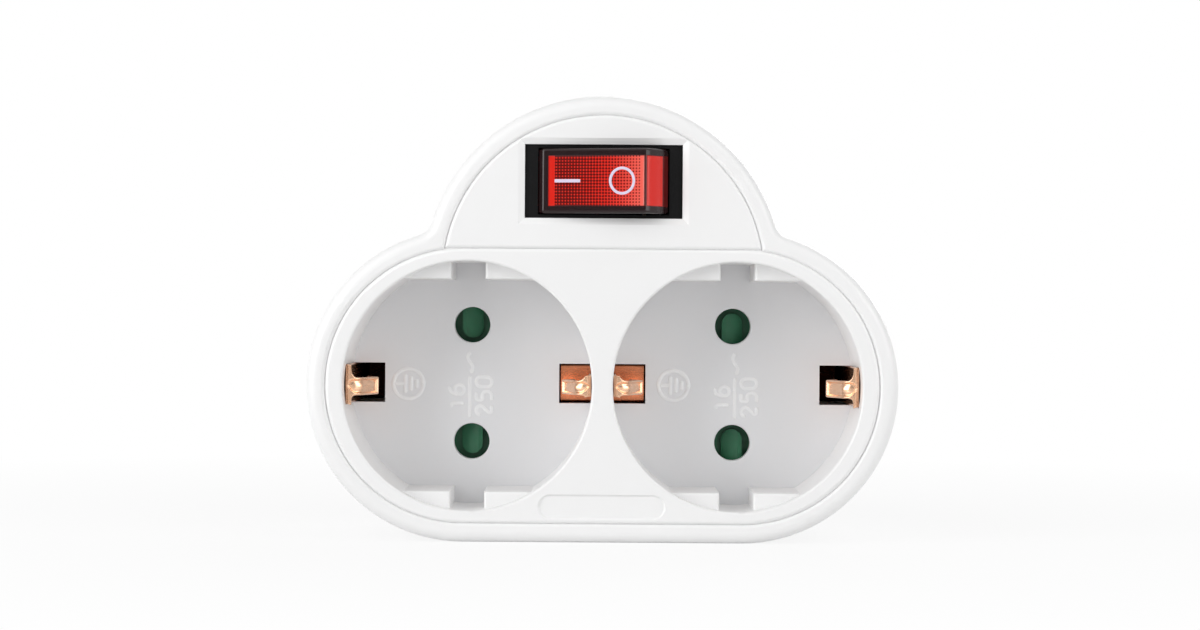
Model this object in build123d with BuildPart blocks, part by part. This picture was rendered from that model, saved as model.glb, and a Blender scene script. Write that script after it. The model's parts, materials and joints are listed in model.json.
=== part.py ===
from build123d import *
import os
from math import cos, hypot, radians, sin, sqrt

# A two-way earthed socket adapter with a lit rocker switch, in millimetres.
# The origin is the middle of the plug face, between the pins. +Y runs along the pins into the wall,
# the sockets face -Y, +X is to the right seen from the front and +Z is up.
# A level is a distance in front of the plug face, so level v lies at y = -v.

# Plug
pin_spacing = 19.0
pin_radius = 2.4
pin_length = 19.0
pin_tip_rounding = 1.2
pin_collar_radius = 3.0
pin_flange_radius = 3.4
pin_flange_thickness = 1.2
pin_tail_radius = 1.6
pin_tail_length = 4.3
nose_length = 18.0
nose_face = 3.5
nose_clearance = 0.9
nose_wall = 2.4
nose_rib_height = 2.2
nose_rib_width = 4.6
nose_rounding = 0.8
strap_width = 6.4
strap_thickness = 0.8
strap_seat_wall = 2.1
strap_end_gap = 1.2

# Socket wells
socket_spacing = 42.5
socket_drop = 10.4
well_radius = 19.6
well_depth = 17.5
floor_thickness = 2.0
cup_wall = 1.6
pin_hole_radius = 2.9
pin_hole_rounding = 0.25
key_flat = 16.75
key_notch_width = 5.4
key_recess = 2.5
key_rounding = 0.4
mouth_rounding = 0.4
window_inner_radius = 14.2
web_height = 19.6
plaque_length = 20.1
plaque_height = 3.95
plaque_depth = 0.3
plaque_draft = 45.0
plaque_drop = 18.93

# Housing
pin_end_clearance = 1.5
shell_wall = 3.0
back_wall = 2.0
groove_gap = 0.05
plate_margin = 1.95
plate_thickness = 2.2
plate_rounding = 0.6
end_shift = 0.75
dome_drop = 4.25
junction_radius = 3.0
front_rounding = 1.8
back_rounding = 3.0
rim_rounding = 0.6

# Housing screws and their posts
post_radius = 3.0
post_inset = 0.3
post_angle = 44.0
dome_post_angle = 29.0
boss_height = 2.5
screw_radius = 1.45
screw_length = 12.0
screw_head_radius = 2.7
screw_slot_width = 0.6
screw_slot_depth = 0.8
fit_clearance = 0.05

# Switch
switch_rise = 10.6
frame_length = 24.6
frame_height = 11.4
frame_recess = 1.0
window_bevel = 1.0
window_bevel_depth = 0.5
window_clearance = 0.1
window_corner_margin = 1.16
body_shoulder = 1.1
body_step = 0.3
body_depth = 13.8
body_floor = 1.0
snap_arm_thickness = 1.2
snap_arm_width = 8.0
snap_hook = 0.8
snap_clearance = 0.15
rocker_width = 10.2
rocker_reach = 11.5
rocker_half_top = 8.2
rocker_skirt = 3.5
rocker_wall = 1.2
rocker_rounding = 0.35
rocker_pivot_depth = 5.4
rocker_tilt = 11.0
rocker_side_gap = 0.15
rocker_end_gap = 0.15
axle_radius = 1.2
axle_seat = 0.6
cheek_radius = 2.6
running_clearance = 0.05
stem_radius = 2.2
stem_clearance = 1.2
stem_bore_radius = 1.25
plunger_radius = 1.15
plunger_length = 3.4
plunger_nib_flat = 0.25
plunger_spring_wire = 0.15
plunger_spring_turns = 3
lever_thickness = 0.5
lever_width = 4.0
lever_half_length = 8.0
lever_tilt = 7.0
lever_ridge_radius = 0.7
lever_end_room = 1.1
contact_radius = 1.2
contact_thickness = 0.3
contact_gap = 0.05
terminal_spacing = 6.5
blade_thickness = 0.8
blade_width = 4.8
blade_length = 6.0
pad_thickness = 0.6
pad_half_length = 1.5
lamp_radius = 1.7
lamp_level_drop = 1.6
lamp_end_flat = 0.7
resistor_radius = 0.9
resistor_length = 6.0
lead_radius = 0.3
saddle_depth = 1.8
saddle_half_width = 1.4

# Shutters
shutter_gap = 0.3
shutter_thickness = 3.5
shutter_plate = 1.5
pivot_radius = 2.2
hub_radius = 4.4
arm_width = 5.0
shutter_overlap = 1.0
ramp_low = 0.4
finger_width = 3.4
finger_end = 2.1
spring_space = 1.7
shutter_spring_wire = 0.2
shutter_spring_turns = 3
shutter_spring_gap = 0.55
shutter_spring_end_gap = 0.2
pivot_head_radius = 4.0
pivot_head_thickness = 1.2
pivot_screw_radius = 1.0
pivot_screw_length = 6.0
stop_radius = 1.2
stop_reach = 6.0
stop_gap = 0.1

# Contacts, earth clips and busbars
leaf_thickness = 0.6
leaf_grip = 0.1
leaf_overhang = 2.5
busbar_rise = 5.0
busbar_width = 7.0
busbar_standoff = 3.1
rib_width = 1.6
rib_half_depth = 1.2
rib_offset = 15.0
clip_width = 6.3
clip_thickness = 0.5
clip_wall_gap = 0.1
clip_window_gap = 0.075
clip_back_room = 0.4
clip_shoulder_drop = 5.2
clip_top_drop = 4.0
clip_foot = 5.4
clip_bend = 0.5
clip_foot_bend = 1.0
tongue_crown = 1.25
tongue_bend = 1.5
tongue_width = 2.7
tongue_bulge_radius = 14.85
tongue_bulge_height = 6.5
tongue_tip_height = 1.7
tongue_tip_inset = 2.4
earth_thickness = 0.6
centre_shelf_drop = 3.5
centre_post_offset = 2.6
rivet_radius = 1.0
rivet_head_radius = 1.7
rivet_head_thickness = 0.6
rivet_inset = 3.25

# Wires
wire_radius = 1.3
lamp_wire_radius = 0.9
wire_bend = 4.0
wire_gap = 0.1

# Levels from the plug face to the front
back_level = nose_length
inner_level = back_level + back_wall
boss_level = inner_level + boss_height
floor_back = inner_level + pin_length - floor_thickness + pin_end_clearance
floor_front = floor_back + floor_thickness
front_level = floor_front + well_depth
plate_back = front_level - plate_thickness
clip_top = front_level - clip_top_drop

# Outlines seen from the front
socket_z = -socket_drop
socket_x = socket_spacing / 2
end_offset = socket_x + end_shift
plate_radius = well_radius + plate_margin
opening_radius = plate_radius + groove_gap
end_radius = opening_radius + shell_wall
chord_z = socket_z + plate_radius + groove_gap
dome_z = chord_z - dome_drop
switch_z = chord_z + switch_rise
window_length = frame_length + 2 * window_clearance
window_height = frame_height + 2 * window_clearance
window_corner = hypot(window_length / 2, switch_z + window_height / 2 - dome_z)
half_moon_radius = window_corner + window_corner_margin
dome_opening_radius = half_moon_radius + groove_gap
dome_radius = dome_opening_radius + shell_wall

# Plug nose
pin_x = pin_spacing / 2
nose_cavity_radius = pin_x + pin_flange_radius + nose_clearance
nose_flat = nose_cavity_radius + nose_wall
nose_radius = nose_flat + nose_rib_height
strap_seat = nose_cavity_radius + strap_seat_wall
strap_face = strap_seat + strap_thickness

# Screw posts: four behind the socket plate and two behind the half-moon plate
post_circle = plate_radius - post_radius - post_inset
post_x = end_offset + post_circle * cos(radians(post_angle))
post_rise = post_circle * sin(radians(post_angle))
socket_posts = [(s * post_x, socket_z + t * post_rise) for s in (-1, 1) for t in (-1, 1)]
dome_post_circle = half_moon_radius - post_radius - post_inset
dome_post_x = dome_post_circle * cos(radians(dome_post_angle))
dome_post_z = dome_z + dome_post_circle * sin(radians(dome_post_angle))
dome_posts = [(-dome_post_x, dome_post_z), (dome_post_x, dome_post_z)]
screw_points = socket_posts + dome_posts

# Switch stations
frame_level = front_level - frame_recess
body_back = plate_back - body_depth
chamber_floor = body_back + body_floor
body_length = frame_length + 2 * body_shoulder
body_height = frame_height + 2 * body_step
chamber_width = rocker_width + 2 * rocker_side_gap
pivot_level = frame_level - rocker_pivot_depth
rocker_top = sqrt(rocker_reach**2 - rocker_half_top**2)
lever_drop = (terminal_spacing + contact_radius) * sin(radians(lever_tilt))
pad_level = chamber_floor + pad_thickness
lever_level = pad_level + contact_gap + contact_thickness + lever_thickness / 2 + lever_drop
lever_reach = pivot_level - lever_level - lever_thickness / 2
stem_length = lever_reach - stem_clearance
plunger_tip = lever_reach - contact_gap
plunger_top = plunger_tip - plunger_length
blade_end = body_back - blade_length
lamp_level = pivot_level - lamp_level_drop

# Shutter stations
rotor_front = floor_back - shutter_gap
rotor_back = rotor_front - shutter_thickness
pivot_end = rotor_back - spring_space
shutter_pad_radius = pin_hole_radius + shutter_overlap

# Contact and earth stations
busbar_low = inner_level + busbar_rise
leaf_inner = pin_radius - leaf_grip
leaf_outer = leaf_inner + leaf_thickness
strip_inner = pin_x + busbar_standoff
strip_outer = strip_inner + leaf_thickness
earth_low = inner_level + strap_thickness
earth_high = earth_low + earth_thickness
clip_outer = well_radius - clip_wall_gap
clip_middle = clip_outer - clip_thickness / 2
window_outer = clip_outer + clip_back_room
window_width = clip_width + 2 * clip_window_gap
window_top = clip_top + clip_back_room
foot_level = earth_high + clip_thickness / 2
shelf_level = floor_back - centre_shelf_drop
rivet_x = socket_x + clip_outer - rivet_inset
tab_low = earth_high + contact_gap

os.makedirs("parts", exist_ok=True)


def level(distance):
    """Plane parallel to the front face at a level, facing the user, with local y along +Z."""
    return Plane.XZ.offset(distance)


def save(part, name):
    """Label a finished piece and write it."""
    part.label = name
    export_step(part, f"parts/{name}.step")


# Rear shell: rim, side wall, back wall, bosses, ribs and the plug nose
with BuildPart() as rear_shell:
    with BuildSketch(level(back_level)) as outline:
        with Locations((0, socket_z)):
            SlotCenterToCenter(2 * end_offset, 2 * end_radius)
        with Locations((0, dome_z)):
            Circle(dome_radius)
        fillet(outline.vertices().sort_by(Axis.Y)[-2:], junction_radius)
    extrude(amount=front_level - back_level)
    fillet(rear_shell.faces().sort_by(Axis.Y)[0].edges(), front_rounding)
    fillet(rear_shell.faces().sort_by(Axis.Y)[-1].edges(), back_rounding)
    with BuildSketch(level(inner_level)):
        with Locations((0, socket_z)):
            SlotCenterToCenter(2 * end_offset, 2 * opening_radius)
        with Locations((0, dome_z)):
            Circle(dome_opening_radius)
    extrude(amount=front_level - inner_level, mode=Mode.SUBTRACT)
    rim = rear_shell.faces().filter_by(Axis.Y).sort_by(Axis.Y)[0]
    fillet(rim.inner_wires()[0].edges(), rim_rounding)
    with BuildSketch(level(0)):
        Circle(nose_radius)
        with Locations((nose_flat + nose_radius, 0), (-nose_flat - nose_radius, 0)):
            Rectangle(2 * nose_radius, 2 * nose_radius, mode=Mode.SUBTRACT)
        with Locations((nose_flat, 0), (-nose_flat, 0)):
            Rectangle(2 * nose_rib_height, nose_rib_width)
    extrude(amount=back_level)
    fillet(rear_shell.faces().sort_by(Axis.Y)[-1].edges(), nose_rounding)
    with BuildSketch(level(nose_face)):
        Circle(nose_cavity_radius)
    extrude(amount=inner_level - nose_face, mode=Mode.SUBTRACT)
    with BuildSketch(level(0)):
        with Locations((pin_x, 0), (-pin_x, 0)):
            Circle(pin_collar_radius + fit_clearance)
    extrude(amount=nose_face, mode=Mode.SUBTRACT)
    seat_room = nose_radius - strap_seat
    with BuildSketch(level(0)):
        with Locations((0, strap_seat + seat_room / 2), (0, -strap_seat - seat_room / 2)):
            Rectangle(strap_width + 2 * window_clearance, seat_room)
    extrude(amount=back_level, mode=Mode.SUBTRACT)
    with BuildSketch(level(back_level)):
        with Locations((0, strap_seat + strap_thickness / 2), (0, -strap_seat - strap_thickness / 2)):
            Rectangle(strap_width + 2 * window_clearance, strap_thickness + 2 * fit_clearance)
    extrude(amount=back_wall, mode=Mode.SUBTRACT)
    with BuildSketch(level(inner_level)):
        with Locations(*screw_points):
            Circle(post_radius)
    extrude(amount=boss_height)
    with BuildSketch(level(inner_level)):
        for side in (-1, 1):
            strip_middle = socket_z + side * (strip_inner + leaf_thickness / 2)
            with Locations((-rib_offset, strip_middle), (rib_offset, strip_middle)):
                Rectangle(rib_width, 2 * rib_half_depth)
    extrude(amount=busbar_rise)
    back_plane = Plane(origin=(0, -back_level, 0), x_dir=(1, 0, 0), z_dir=(0, 1, 0))
    with Locations(back_plane):
        with Locations(*[(x, -z) for x, z in screw_points]):
            CounterSinkHole(
                screw_radius + fit_clearance,
                screw_head_radius + fit_clearance,
                depth=back_wall + boss_height,
                counter_sink_angle=90,
            )
save(rear_shell.part, "rear_shell")

# Socket plate with two wells, keys, clip windows, pivots and screw posts
with BuildPart() as socket_front:
    with BuildSketch(level(plate_back)):
        with Locations((0, socket_z)):
            SlotCenterToCenter(2 * end_offset, 2 * plate_radius)
    extrude(amount=plate_thickness)
    fillet(socket_front.faces().sort_by(Axis.Y)[0].edges(), plate_rounding)
    web_half_width = socket_x - well_radius + cup_wall
    with BuildSketch(level(floor_back)):
        with Locations((-socket_x, socket_z), (socket_x, socket_z)):
            Circle(well_radius + cup_wall)
        with Locations((0, socket_z)):
            Rectangle(2 * web_half_width, web_height)
    extrude(amount=plate_back - floor_back)
    with BuildSketch(level(floor_front)):
        with Locations((-socket_x, socket_z), (socket_x, socket_z)):
            Circle(well_radius)
    extrude(amount=well_depth, mode=Mode.SUBTRACT)
    mouths = socket_front.edges().filter_by(GeomType.CIRCLE).group_by(Axis.Y)[0]
    fillet(mouths.filter_by(lambda e: abs(e.radius - well_radius) < fit_clearance), mouth_rounding)
    with BuildSketch(level(floor_front)):
        with Locations((-socket_x, socket_z), (socket_x, socket_z)):
            Circle(well_radius + cup_wall / 2)
            Rectangle(2 * well_radius + 2 * cup_wall, 2 * key_flat, mode=Mode.SUBTRACT)
            Rectangle(key_notch_width, 2 * well_radius + 2 * cup_wall, mode=Mode.SUBTRACT)
    extrude(amount=well_depth - key_recess)
    key_edges = socket_front.edges().filter_by(GeomType.LINE).filter_by_position(
        Axis.Y, key_recess - front_level - fit_clearance, key_recess - front_level + fit_clearance
    )
    fillet(key_edges, key_rounding)
    with BuildSketch(level(floor_back)):
        with Locations((-socket_x, socket_z), (socket_x, socket_z)):
            with GridLocations(1, pin_spacing, 1, 2):
                Circle(pin_hole_radius)
    extrude(amount=floor_thickness, mode=Mode.SUBTRACT)
    hole_edges = socket_front.edges().filter_by(GeomType.CIRCLE)
    hole_edges = hole_edges.filter_by(lambda e: abs(e.radius - pin_hole_radius) < fit_clearance)
    fillet(hole_edges.group_by(Axis.Y)[0], pin_hole_rounding)
    window_middle = (window_inner_radius + window_outer) / 2
    with BuildSketch(level(floor_back)):
        with Locations((-socket_x, socket_z), (socket_x, socket_z)):
            with GridLocations(2 * window_middle, 1, 2, 1):
                Rectangle(window_outer - window_inner_radius, window_width)
    extrude(amount=window_top - floor_back, mode=Mode.SUBTRACT)
    with BuildSketch(level(pivot_end)):
        with Locations((-socket_x, socket_z), (socket_x, socket_z)):
            Circle(pivot_radius)
    extrude(amount=floor_back - pivot_end)
    with BuildSketch(level(rotor_back)):
        stop_offset = arm_width / 2 + stop_radius + stop_gap
        with Locations((-socket_x, socket_z), (socket_x, socket_z)):
            with Locations((stop_offset, stop_reach)):
                Circle(stop_radius)
    extrude(amount=floor_back - rotor_back)
    with BuildSketch(level(pivot_end)):
        with Locations((-socket_x, socket_z), (socket_x, socket_z)):
            Circle(pivot_screw_radius + fit_clearance)
    extrude(amount=pivot_screw_length, mode=Mode.SUBTRACT)
    with BuildSketch(level(boss_level)):
        with Locations(*socket_posts):
            Circle(post_radius)
    extrude(amount=floor_front - boss_level)
    with BuildSketch(level(boss_level)):
        with Locations(*socket_posts):
            Circle(screw_radius + fit_clearance)
    extrude(amount=screw_length - back_wall - boss_height, mode=Mode.SUBTRACT)
    with BuildSketch(level(front_level)):
        with Locations((0, socket_z - plaque_drop)):
            SlotOverall(plaque_length, plaque_height)
    extrude(amount=-plaque_depth, taper=plaque_draft, mode=Mode.SUBTRACT)
save(socket_front.part, "socket_front")

# Half-moon plate with the bevelled switch window, two snap arms and two screw posts
with BuildPart() as switch_plate:
    with BuildSketch(level(plate_back)):
        with Locations((0, dome_z)):
            Circle(half_moon_radius)
        with Locations((0, chord_z - dome_radius)):
            Rectangle(2 * dome_radius, 2 * dome_radius, mode=Mode.SUBTRACT)
    extrude(amount=plate_thickness)
    fillet(switch_plate.faces().sort_by(Axis.Y)[0].edges(), plate_rounding)
    with BuildSketch(level(plate_back)):
        with Locations((0, switch_z)):
            Rectangle(window_length, window_height)
    extrude(amount=plate_thickness, mode=Mode.SUBTRACT)
    with BuildSketch(level(front_level - window_bevel_depth)) as bevel_low:
        with Locations((0, switch_z)):
            Rectangle(window_length, window_height)
    with BuildSketch(level(front_level)) as bevel_high:
        with Locations((0, switch_z)):
            Rectangle(window_length + 2 * window_bevel, window_height + 2 * window_bevel)
    loft(mode=Mode.SUBTRACT)
    arm_inner = body_length / 2 + snap_clearance
    arm_end = body_back - snap_clearance - snap_hook
    with BuildSketch(level(arm_end)):
        with Locations((0, switch_z)):
            with GridLocations(2 * arm_inner + snap_arm_thickness, 1, 2, 1):
                Rectangle(snap_arm_thickness, snap_arm_width)
    extrude(amount=plate_back - arm_end)
    with BuildSketch(level(arm_end)):
        with Locations((0, switch_z)):
            with GridLocations(2 * arm_inner, 1, 2, 1):
                Rectangle(2 * snap_hook, snap_arm_width)
    extrude(amount=snap_hook)
    with BuildSketch(level(boss_level)):
        with Locations(*dome_posts):
            Circle(post_radius)
    extrude(amount=plate_back - boss_level)
    with BuildSketch(level(boss_level)):
        with Locations(*dome_posts):
            Circle(screw_radius + fit_clearance)
    extrude(amount=screw_length - back_wall - boss_height, mode=Mode.SUBTRACT)
save(switch_plate.part, "switch_plate")

# Six countersunk housing screws with crossed slots, flush with the back
head_height = screw_head_radius - screw_radius
with BuildPart() as housing_screws:
    with BuildSketch(level(back_level)):
        with Locations(*screw_points):
            Circle(screw_radius)
    extrude(amount=screw_length)
    with Locations(*[(x, -back_level - head_height / 2, z) for x, z in screw_points]):
        Cone(screw_head_radius, screw_radius, head_height, rotation=(90, 0, 0))
    with BuildSketch(level(back_level)):
        with Locations(*screw_points):
            Rectangle(2 * screw_radius, screw_slot_width)
            Rectangle(screw_slot_width, 2 * screw_radius)
    extrude(amount=screw_slot_depth, mode=Mode.SUBTRACT)
save(housing_screws.part, "housing_screws")

# Switch body: a box seated behind the window, hollowed to the rocker's sweep, with lamp saddles
with BuildPart() as switch_housing:
    with BuildSketch(level(body_back)):
        with Locations((0, switch_z)):
            Rectangle(body_length, body_height)
    extrude(amount=body_depth)
    with BuildSketch(level(plate_back)):
        with Locations((0, switch_z)):
            Rectangle(frame_length, frame_height)
    extrude(amount=frame_level - plate_back)
    sweep_radius = rocker_reach + rocker_end_gap
    with BuildSketch(Plane.XY.offset(switch_z)):
        with Locations((0, -pivot_level)):
            Circle(sweep_radius)
        with Locations((0, -pivot_level + sweep_radius)):
            Rectangle(2 * sweep_radius, 2 * sweep_radius, mode=Mode.SUBTRACT)
    extrude(amount=chamber_width / 2, both=True, mode=Mode.SUBTRACT)
    with BuildSketch(level(chamber_floor)):
        with Locations((0, switch_z)):
            Rectangle(2 * (lever_half_length + lever_end_room), chamber_width)
    extrude(amount=pivot_level - chamber_floor, mode=Mode.SUBTRACT)
    saddle_z = chamber_width / 2 - saddle_depth / 2
    for saddle_x, saddle_top in (
        (-terminal_spacing, lamp_level - lamp_radius - contact_gap),
        (terminal_spacing, lamp_level - lead_radius - contact_gap),
    ):
        with BuildSketch(level(chamber_floor)):
            with Locations((saddle_x, switch_z)):
                with GridLocations(1, 2 * saddle_z, 1, 2):
                    Rectangle(2 * saddle_half_width, saddle_depth)
        extrude(amount=saddle_top - chamber_floor)
    with BuildSketch(Plane.XY.offset(switch_z)):
        with Locations((0, -pivot_level)):
            Circle(axle_radius + running_clearance)
    extrude(
        amount=rocker_width / 2 + axle_seat + running_clearance,
        both=True,
        mode=Mode.SUBTRACT,
    )
    with BuildSketch(level(body_back)):
        with Locations((0, switch_z)):
            with GridLocations(terminal_spacing, 1, 3, 1):
                Rectangle(blade_thickness + 2 * fit_clearance, blade_width + 2 * fit_clearance)
    extrude(amount=body_floor, mode=Mode.SUBTRACT)
save(switch_housing.part, "switch_housing")

# Rocker frame: its axle is the origin, local x runs along the rocker and local y into the switch
rocker_plane = Plane(
    origin=(0, -pivot_level, switch_z),
    x_dir=(cos(radians(rocker_tilt)), -sin(radians(rocker_tilt)), 0),
    z_dir=(0, 0, 1),
)
skirt_half = sqrt(rocker_reach**2 - rocker_skirt**2)
inner_reach = rocker_reach - rocker_wall
inner_top = rocker_top - rocker_wall
inner_half_top = sqrt(inner_reach**2 - inner_top**2)
inner_skirt_half = sqrt(inner_reach**2 - rocker_skirt**2)

# Red rocker: a hollow cap with round ends about its axle, cheeks, an axle bar and a stem
with BuildPart() as switch_rocker:
    with BuildSketch(rocker_plane):
        with BuildLine():
            Line((-rocker_half_top, -rocker_top), (rocker_half_top, -rocker_top))
            RadiusArc((rocker_half_top, -rocker_top), (skirt_half, -rocker_skirt), -rocker_reach)
            Line((skirt_half, -rocker_skirt), (-skirt_half, -rocker_skirt))
            RadiusArc((-skirt_half, -rocker_skirt), (-rocker_half_top, -rocker_top), -rocker_reach)
        make_face()
    extrude(amount=rocker_width / 2, both=True)
    top_corners = switch_rocker.faces().sort_by(rocker_plane.location.y_axis)[0].edges()
    fillet(top_corners, rocker_rounding)
    with BuildSketch(rocker_plane):
        with BuildLine():
            Line((-inner_half_top, -inner_top), (inner_half_top, -inner_top))
            RadiusArc((inner_half_top, -inner_top), (inner_skirt_half, -rocker_skirt), -inner_reach)
            Line((inner_skirt_half, -rocker_skirt), (-inner_skirt_half, -rocker_skirt))
            RadiusArc((-inner_skirt_half, -rocker_skirt), (-inner_half_top, -inner_top), -inner_reach)
        make_face()
    extrude(amount=rocker_width / 2 - rocker_wall, both=True, mode=Mode.SUBTRACT)
    for cheek_offset in (rocker_width / 2 - rocker_wall, -rocker_width / 2):
        with BuildSketch(rocker_plane.offset(cheek_offset)):
            Circle(cheek_radius)
            with Locations((0, -rocker_skirt / 2)):
                Rectangle(2 * cheek_radius, rocker_skirt)
        extrude(amount=rocker_wall)
    with BuildSketch(rocker_plane):
        with Locations((0, (stem_length - inner_top) / 2)):
            Rectangle(2 * stem_radius, stem_length + inner_top)
    extrude(amount=stem_radius, both=True)
    with BuildSketch(rocker_plane):
        Circle(axle_radius)
    extrude(amount=rocker_width / 2 + axle_seat, both=True)
    stem_plane = Plane(
        origin=rocker_plane.from_local_coords((0, stem_length, 0)),
        x_dir=rocker_plane.x_dir,
        z_dir=-rocker_plane.y_dir,
    )
    with BuildSketch(stem_plane):
        Circle(stem_bore_radius)
    extrude(amount=stem_length - axle_radius - running_clearance, mode=Mode.SUBTRACT)
save(switch_rocker.part, "switch_rocker")

# Plunger with a round nib, and the coil that presses it on the lever
tip_plane = Plane(
    origin=rocker_plane.from_local_coords((0, plunger_tip, 0)),
    x_dir=rocker_plane.x_dir,
    z_dir=-rocker_plane.y_dir,
)
with BuildPart() as switch_plunger:
    with BuildSketch(tip_plane):
        Circle(plunger_radius)
    extrude(amount=plunger_length)
    nib = switch_plunger.edges().sort_by(rocker_plane.location.y_axis)[-1]
    fillet(nib, plunger_radius - plunger_nib_flat)
save(switch_plunger.part, "switch_plunger")

coil_room = plunger_top - axle_radius - running_clearance - 2 * plunger_spring_wire
coil_start = tip_plane.from_local_coords((0, 0, plunger_length + plunger_spring_wire))
coil_radius = stem_bore_radius - plunger_spring_wire - running_clearance
with BuildPart() as plunger_spring:
    with BuildLine() as coil:
        Helix(
            coil_room / plunger_spring_turns,
            coil_room,
            coil_radius,
            center=coil_start,
            direction=tip_plane.z_dir,
        )
    with BuildSketch(coil.line ^ 0):
        Circle(plunger_spring_wire)
    sweep(path=coil.line)
save(plunger_spring.part, "plunger_spring")

# See-saw lever: tipped the other way at rest, with a round ridge on its axis and a contact button
lever_plane = Plane(
    origin=(0, -lever_level, switch_z),
    x_dir=(cos(radians(lever_tilt)), sin(radians(lever_tilt)), 0),
    z_dir=(0, 0, 1),
)
button_plane = Plane(
    origin=lever_plane.from_local_coords((terminal_spacing, 0, 0)),
    x_dir=lever_plane.x_dir,
    z_dir=lever_plane.y_dir,
)
with BuildPart() as switch_lever:
    with BuildSketch(lever_plane):
        Rectangle(2 * lever_half_length, lever_thickness)
    extrude(amount=lever_width / 2, both=True)
    with BuildSketch(lever_plane):
        Circle(lever_ridge_radius)
        with Locations((0, -lever_ridge_radius)):
            Rectangle(2 * lever_ridge_radius, 2 * lever_ridge_radius, mode=Mode.SUBTRACT)
    extrude(amount=lever_width / 2, both=True)
    with BuildSketch(button_plane):
        Circle(contact_radius)
    extrude(amount=lever_thickness / 2 + contact_thickness)
save(switch_lever.part, "switch_lever")


def terminal(x, top, padded):
    """Switch blade through the body's floor, with a contact pad on the floor where asked for."""
    with BuildPart() as blade:
        with BuildSketch(level(blade_end)):
            with Locations((x, switch_z)):
                Rectangle(blade_thickness, blade_width)
        extrude(amount=top - blade_end)
        if padded:
            with BuildSketch(level(chamber_floor)):
                with Locations((x, switch_z)):
                    Rectangle(2 * pad_half_length, blade_width)
            extrude(amount=top - chamber_floor)
    return blade.part


fulcrum_level = lever_level - lever_ridge_radius - contact_gap
save(terminal(0, fulcrum_level, False), "terminal_line_in")
save(terminal(terminal_spacing, pad_level, True), "terminal_line_out")
save(terminal(-terminal_spacing, chamber_floor, False), "terminal_neutral")

# Neon lamp and its resistor, lying across the body on the saddles
lead_reach = chamber_width / 2 - rocker_side_gap
with BuildPart() as neon_lamp:
    with BuildSketch(Plane.XY.offset(switch_z)):
        with Locations((-terminal_spacing, -lamp_level)):
            Circle(lamp_radius)
    extrude(amount=lead_reach, both=True)
    fillet(neon_lamp.edges().filter_by(GeomType.CIRCLE), lamp_radius - lamp_end_flat)
save(neon_lamp.part, "neon_lamp")

with BuildPart() as lamp_resistor:
    with BuildSketch(Plane.XY.offset(switch_z)):
        with Locations((terminal_spacing, -lamp_level)):
            Circle(resistor_radius)
    extrude(amount=resistor_length / 2, both=True)
    with BuildSketch(Plane.XY.offset(switch_z)):
        with Locations((terminal_spacing, -lamp_level)):
            Circle(lead_radius)
    extrude(amount=lead_reach, both=True)
save(lamp_resistor.part, "lamp_resistor")


def shutter(x):
    """Two-armed rotor behind a well floor: each pad has a finger with a ramp that a pin pushes aside."""
    finger_length = finger_end + shutter_pad_radius
    finger_shift = (1 if x < 0 else -1) * (shutter_pad_radius - finger_length / 2)
    with BuildPart() as rotor:
        with BuildSketch(level(rotor_back)):
            with Locations((x, socket_z)):
                Circle(hub_radius)
                Rectangle(arm_width, pin_spacing)
        extrude(amount=shutter_plate)
        with BuildSketch(level(rotor_back)):
            with Locations((x, socket_z)):
                with GridLocations(1, pin_spacing, 1, 2):
                    Circle(shutter_pad_radius)
        extrude(amount=shutter_plate + ramp_low)
        with BuildSketch(level(rotor_back)):
            with Locations((x, socket_z + finger_shift)):
                with GridLocations(1, pin_spacing, 1, 2):
                    SlotOverall(finger_length, finger_width, rotation=90)
        extrude(amount=shutter_thickness)
        for side in (-1, 1):
            with BuildSketch(Plane.XY.offset(socket_z + side * pin_x)):
                with BuildLine():
                    Polyline(
                        (x - side * shutter_overlap, -rotor_front),
                        (x + side * shutter_pad_radius, -rotor_back - shutter_plate - ramp_low),
                        (x + side * shutter_pad_radius, -rotor_front),
                        close=True,
                    )
                make_face()
            extrude(amount=shutter_pad_radius, both=True, mode=Mode.SUBTRACT)
        with BuildSketch(level(rotor_back)):
            with Locations((x, socket_z)):
                Circle(pivot_radius + running_clearance)
        extrude(amount=shutter_thickness, mode=Mode.SUBTRACT)
    return rotor.part


def shutter_spring(x):
    """Torsion coil round the pivot between the rotor and the screw head."""
    end_room = shutter_spring_wire + shutter_spring_end_gap
    room = spring_space - 2 * end_room
    radius = pivot_radius + shutter_spring_gap + shutter_spring_wire
    with BuildPart() as spring:
        with BuildLine() as coil:
            Helix(
                room / shutter_spring_turns,
                room,
                radius,
                center=(x, -pivot_end - end_room, socket_z),
                direction=(0, -1, 0),
            )
        with BuildSketch(coil.line ^ 0):
            Circle(shutter_spring_wire)
        sweep(path=coil.line)
    return spring.part


def shutter_screw(x):
    """Pivot screw whose wide head keeps the rotor and coil on the pivot."""
    with BuildPart() as screw:
        with BuildSketch(level(pivot_end - pivot_head_thickness)):
            with Locations((x, socket_z)):
                Circle(pivot_head_radius)
        extrude(amount=pivot_head_thickness)
        with BuildSketch(level(pivot_end)):
            with Locations((x, socket_z)):
                Circle(pivot_screw_radius)
        extrude(amount=pivot_screw_length - fit_clearance)
    return screw.part


for side_name, x in (("left", -socket_x), ("right", socket_x)):
    save(shutter(x), f"{side_name}_shutter")
    save(shutter_spring(x), f"{side_name}_shutter_spring")
    save(shutter_screw(x), f"{side_name}_shutter_screw")


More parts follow.
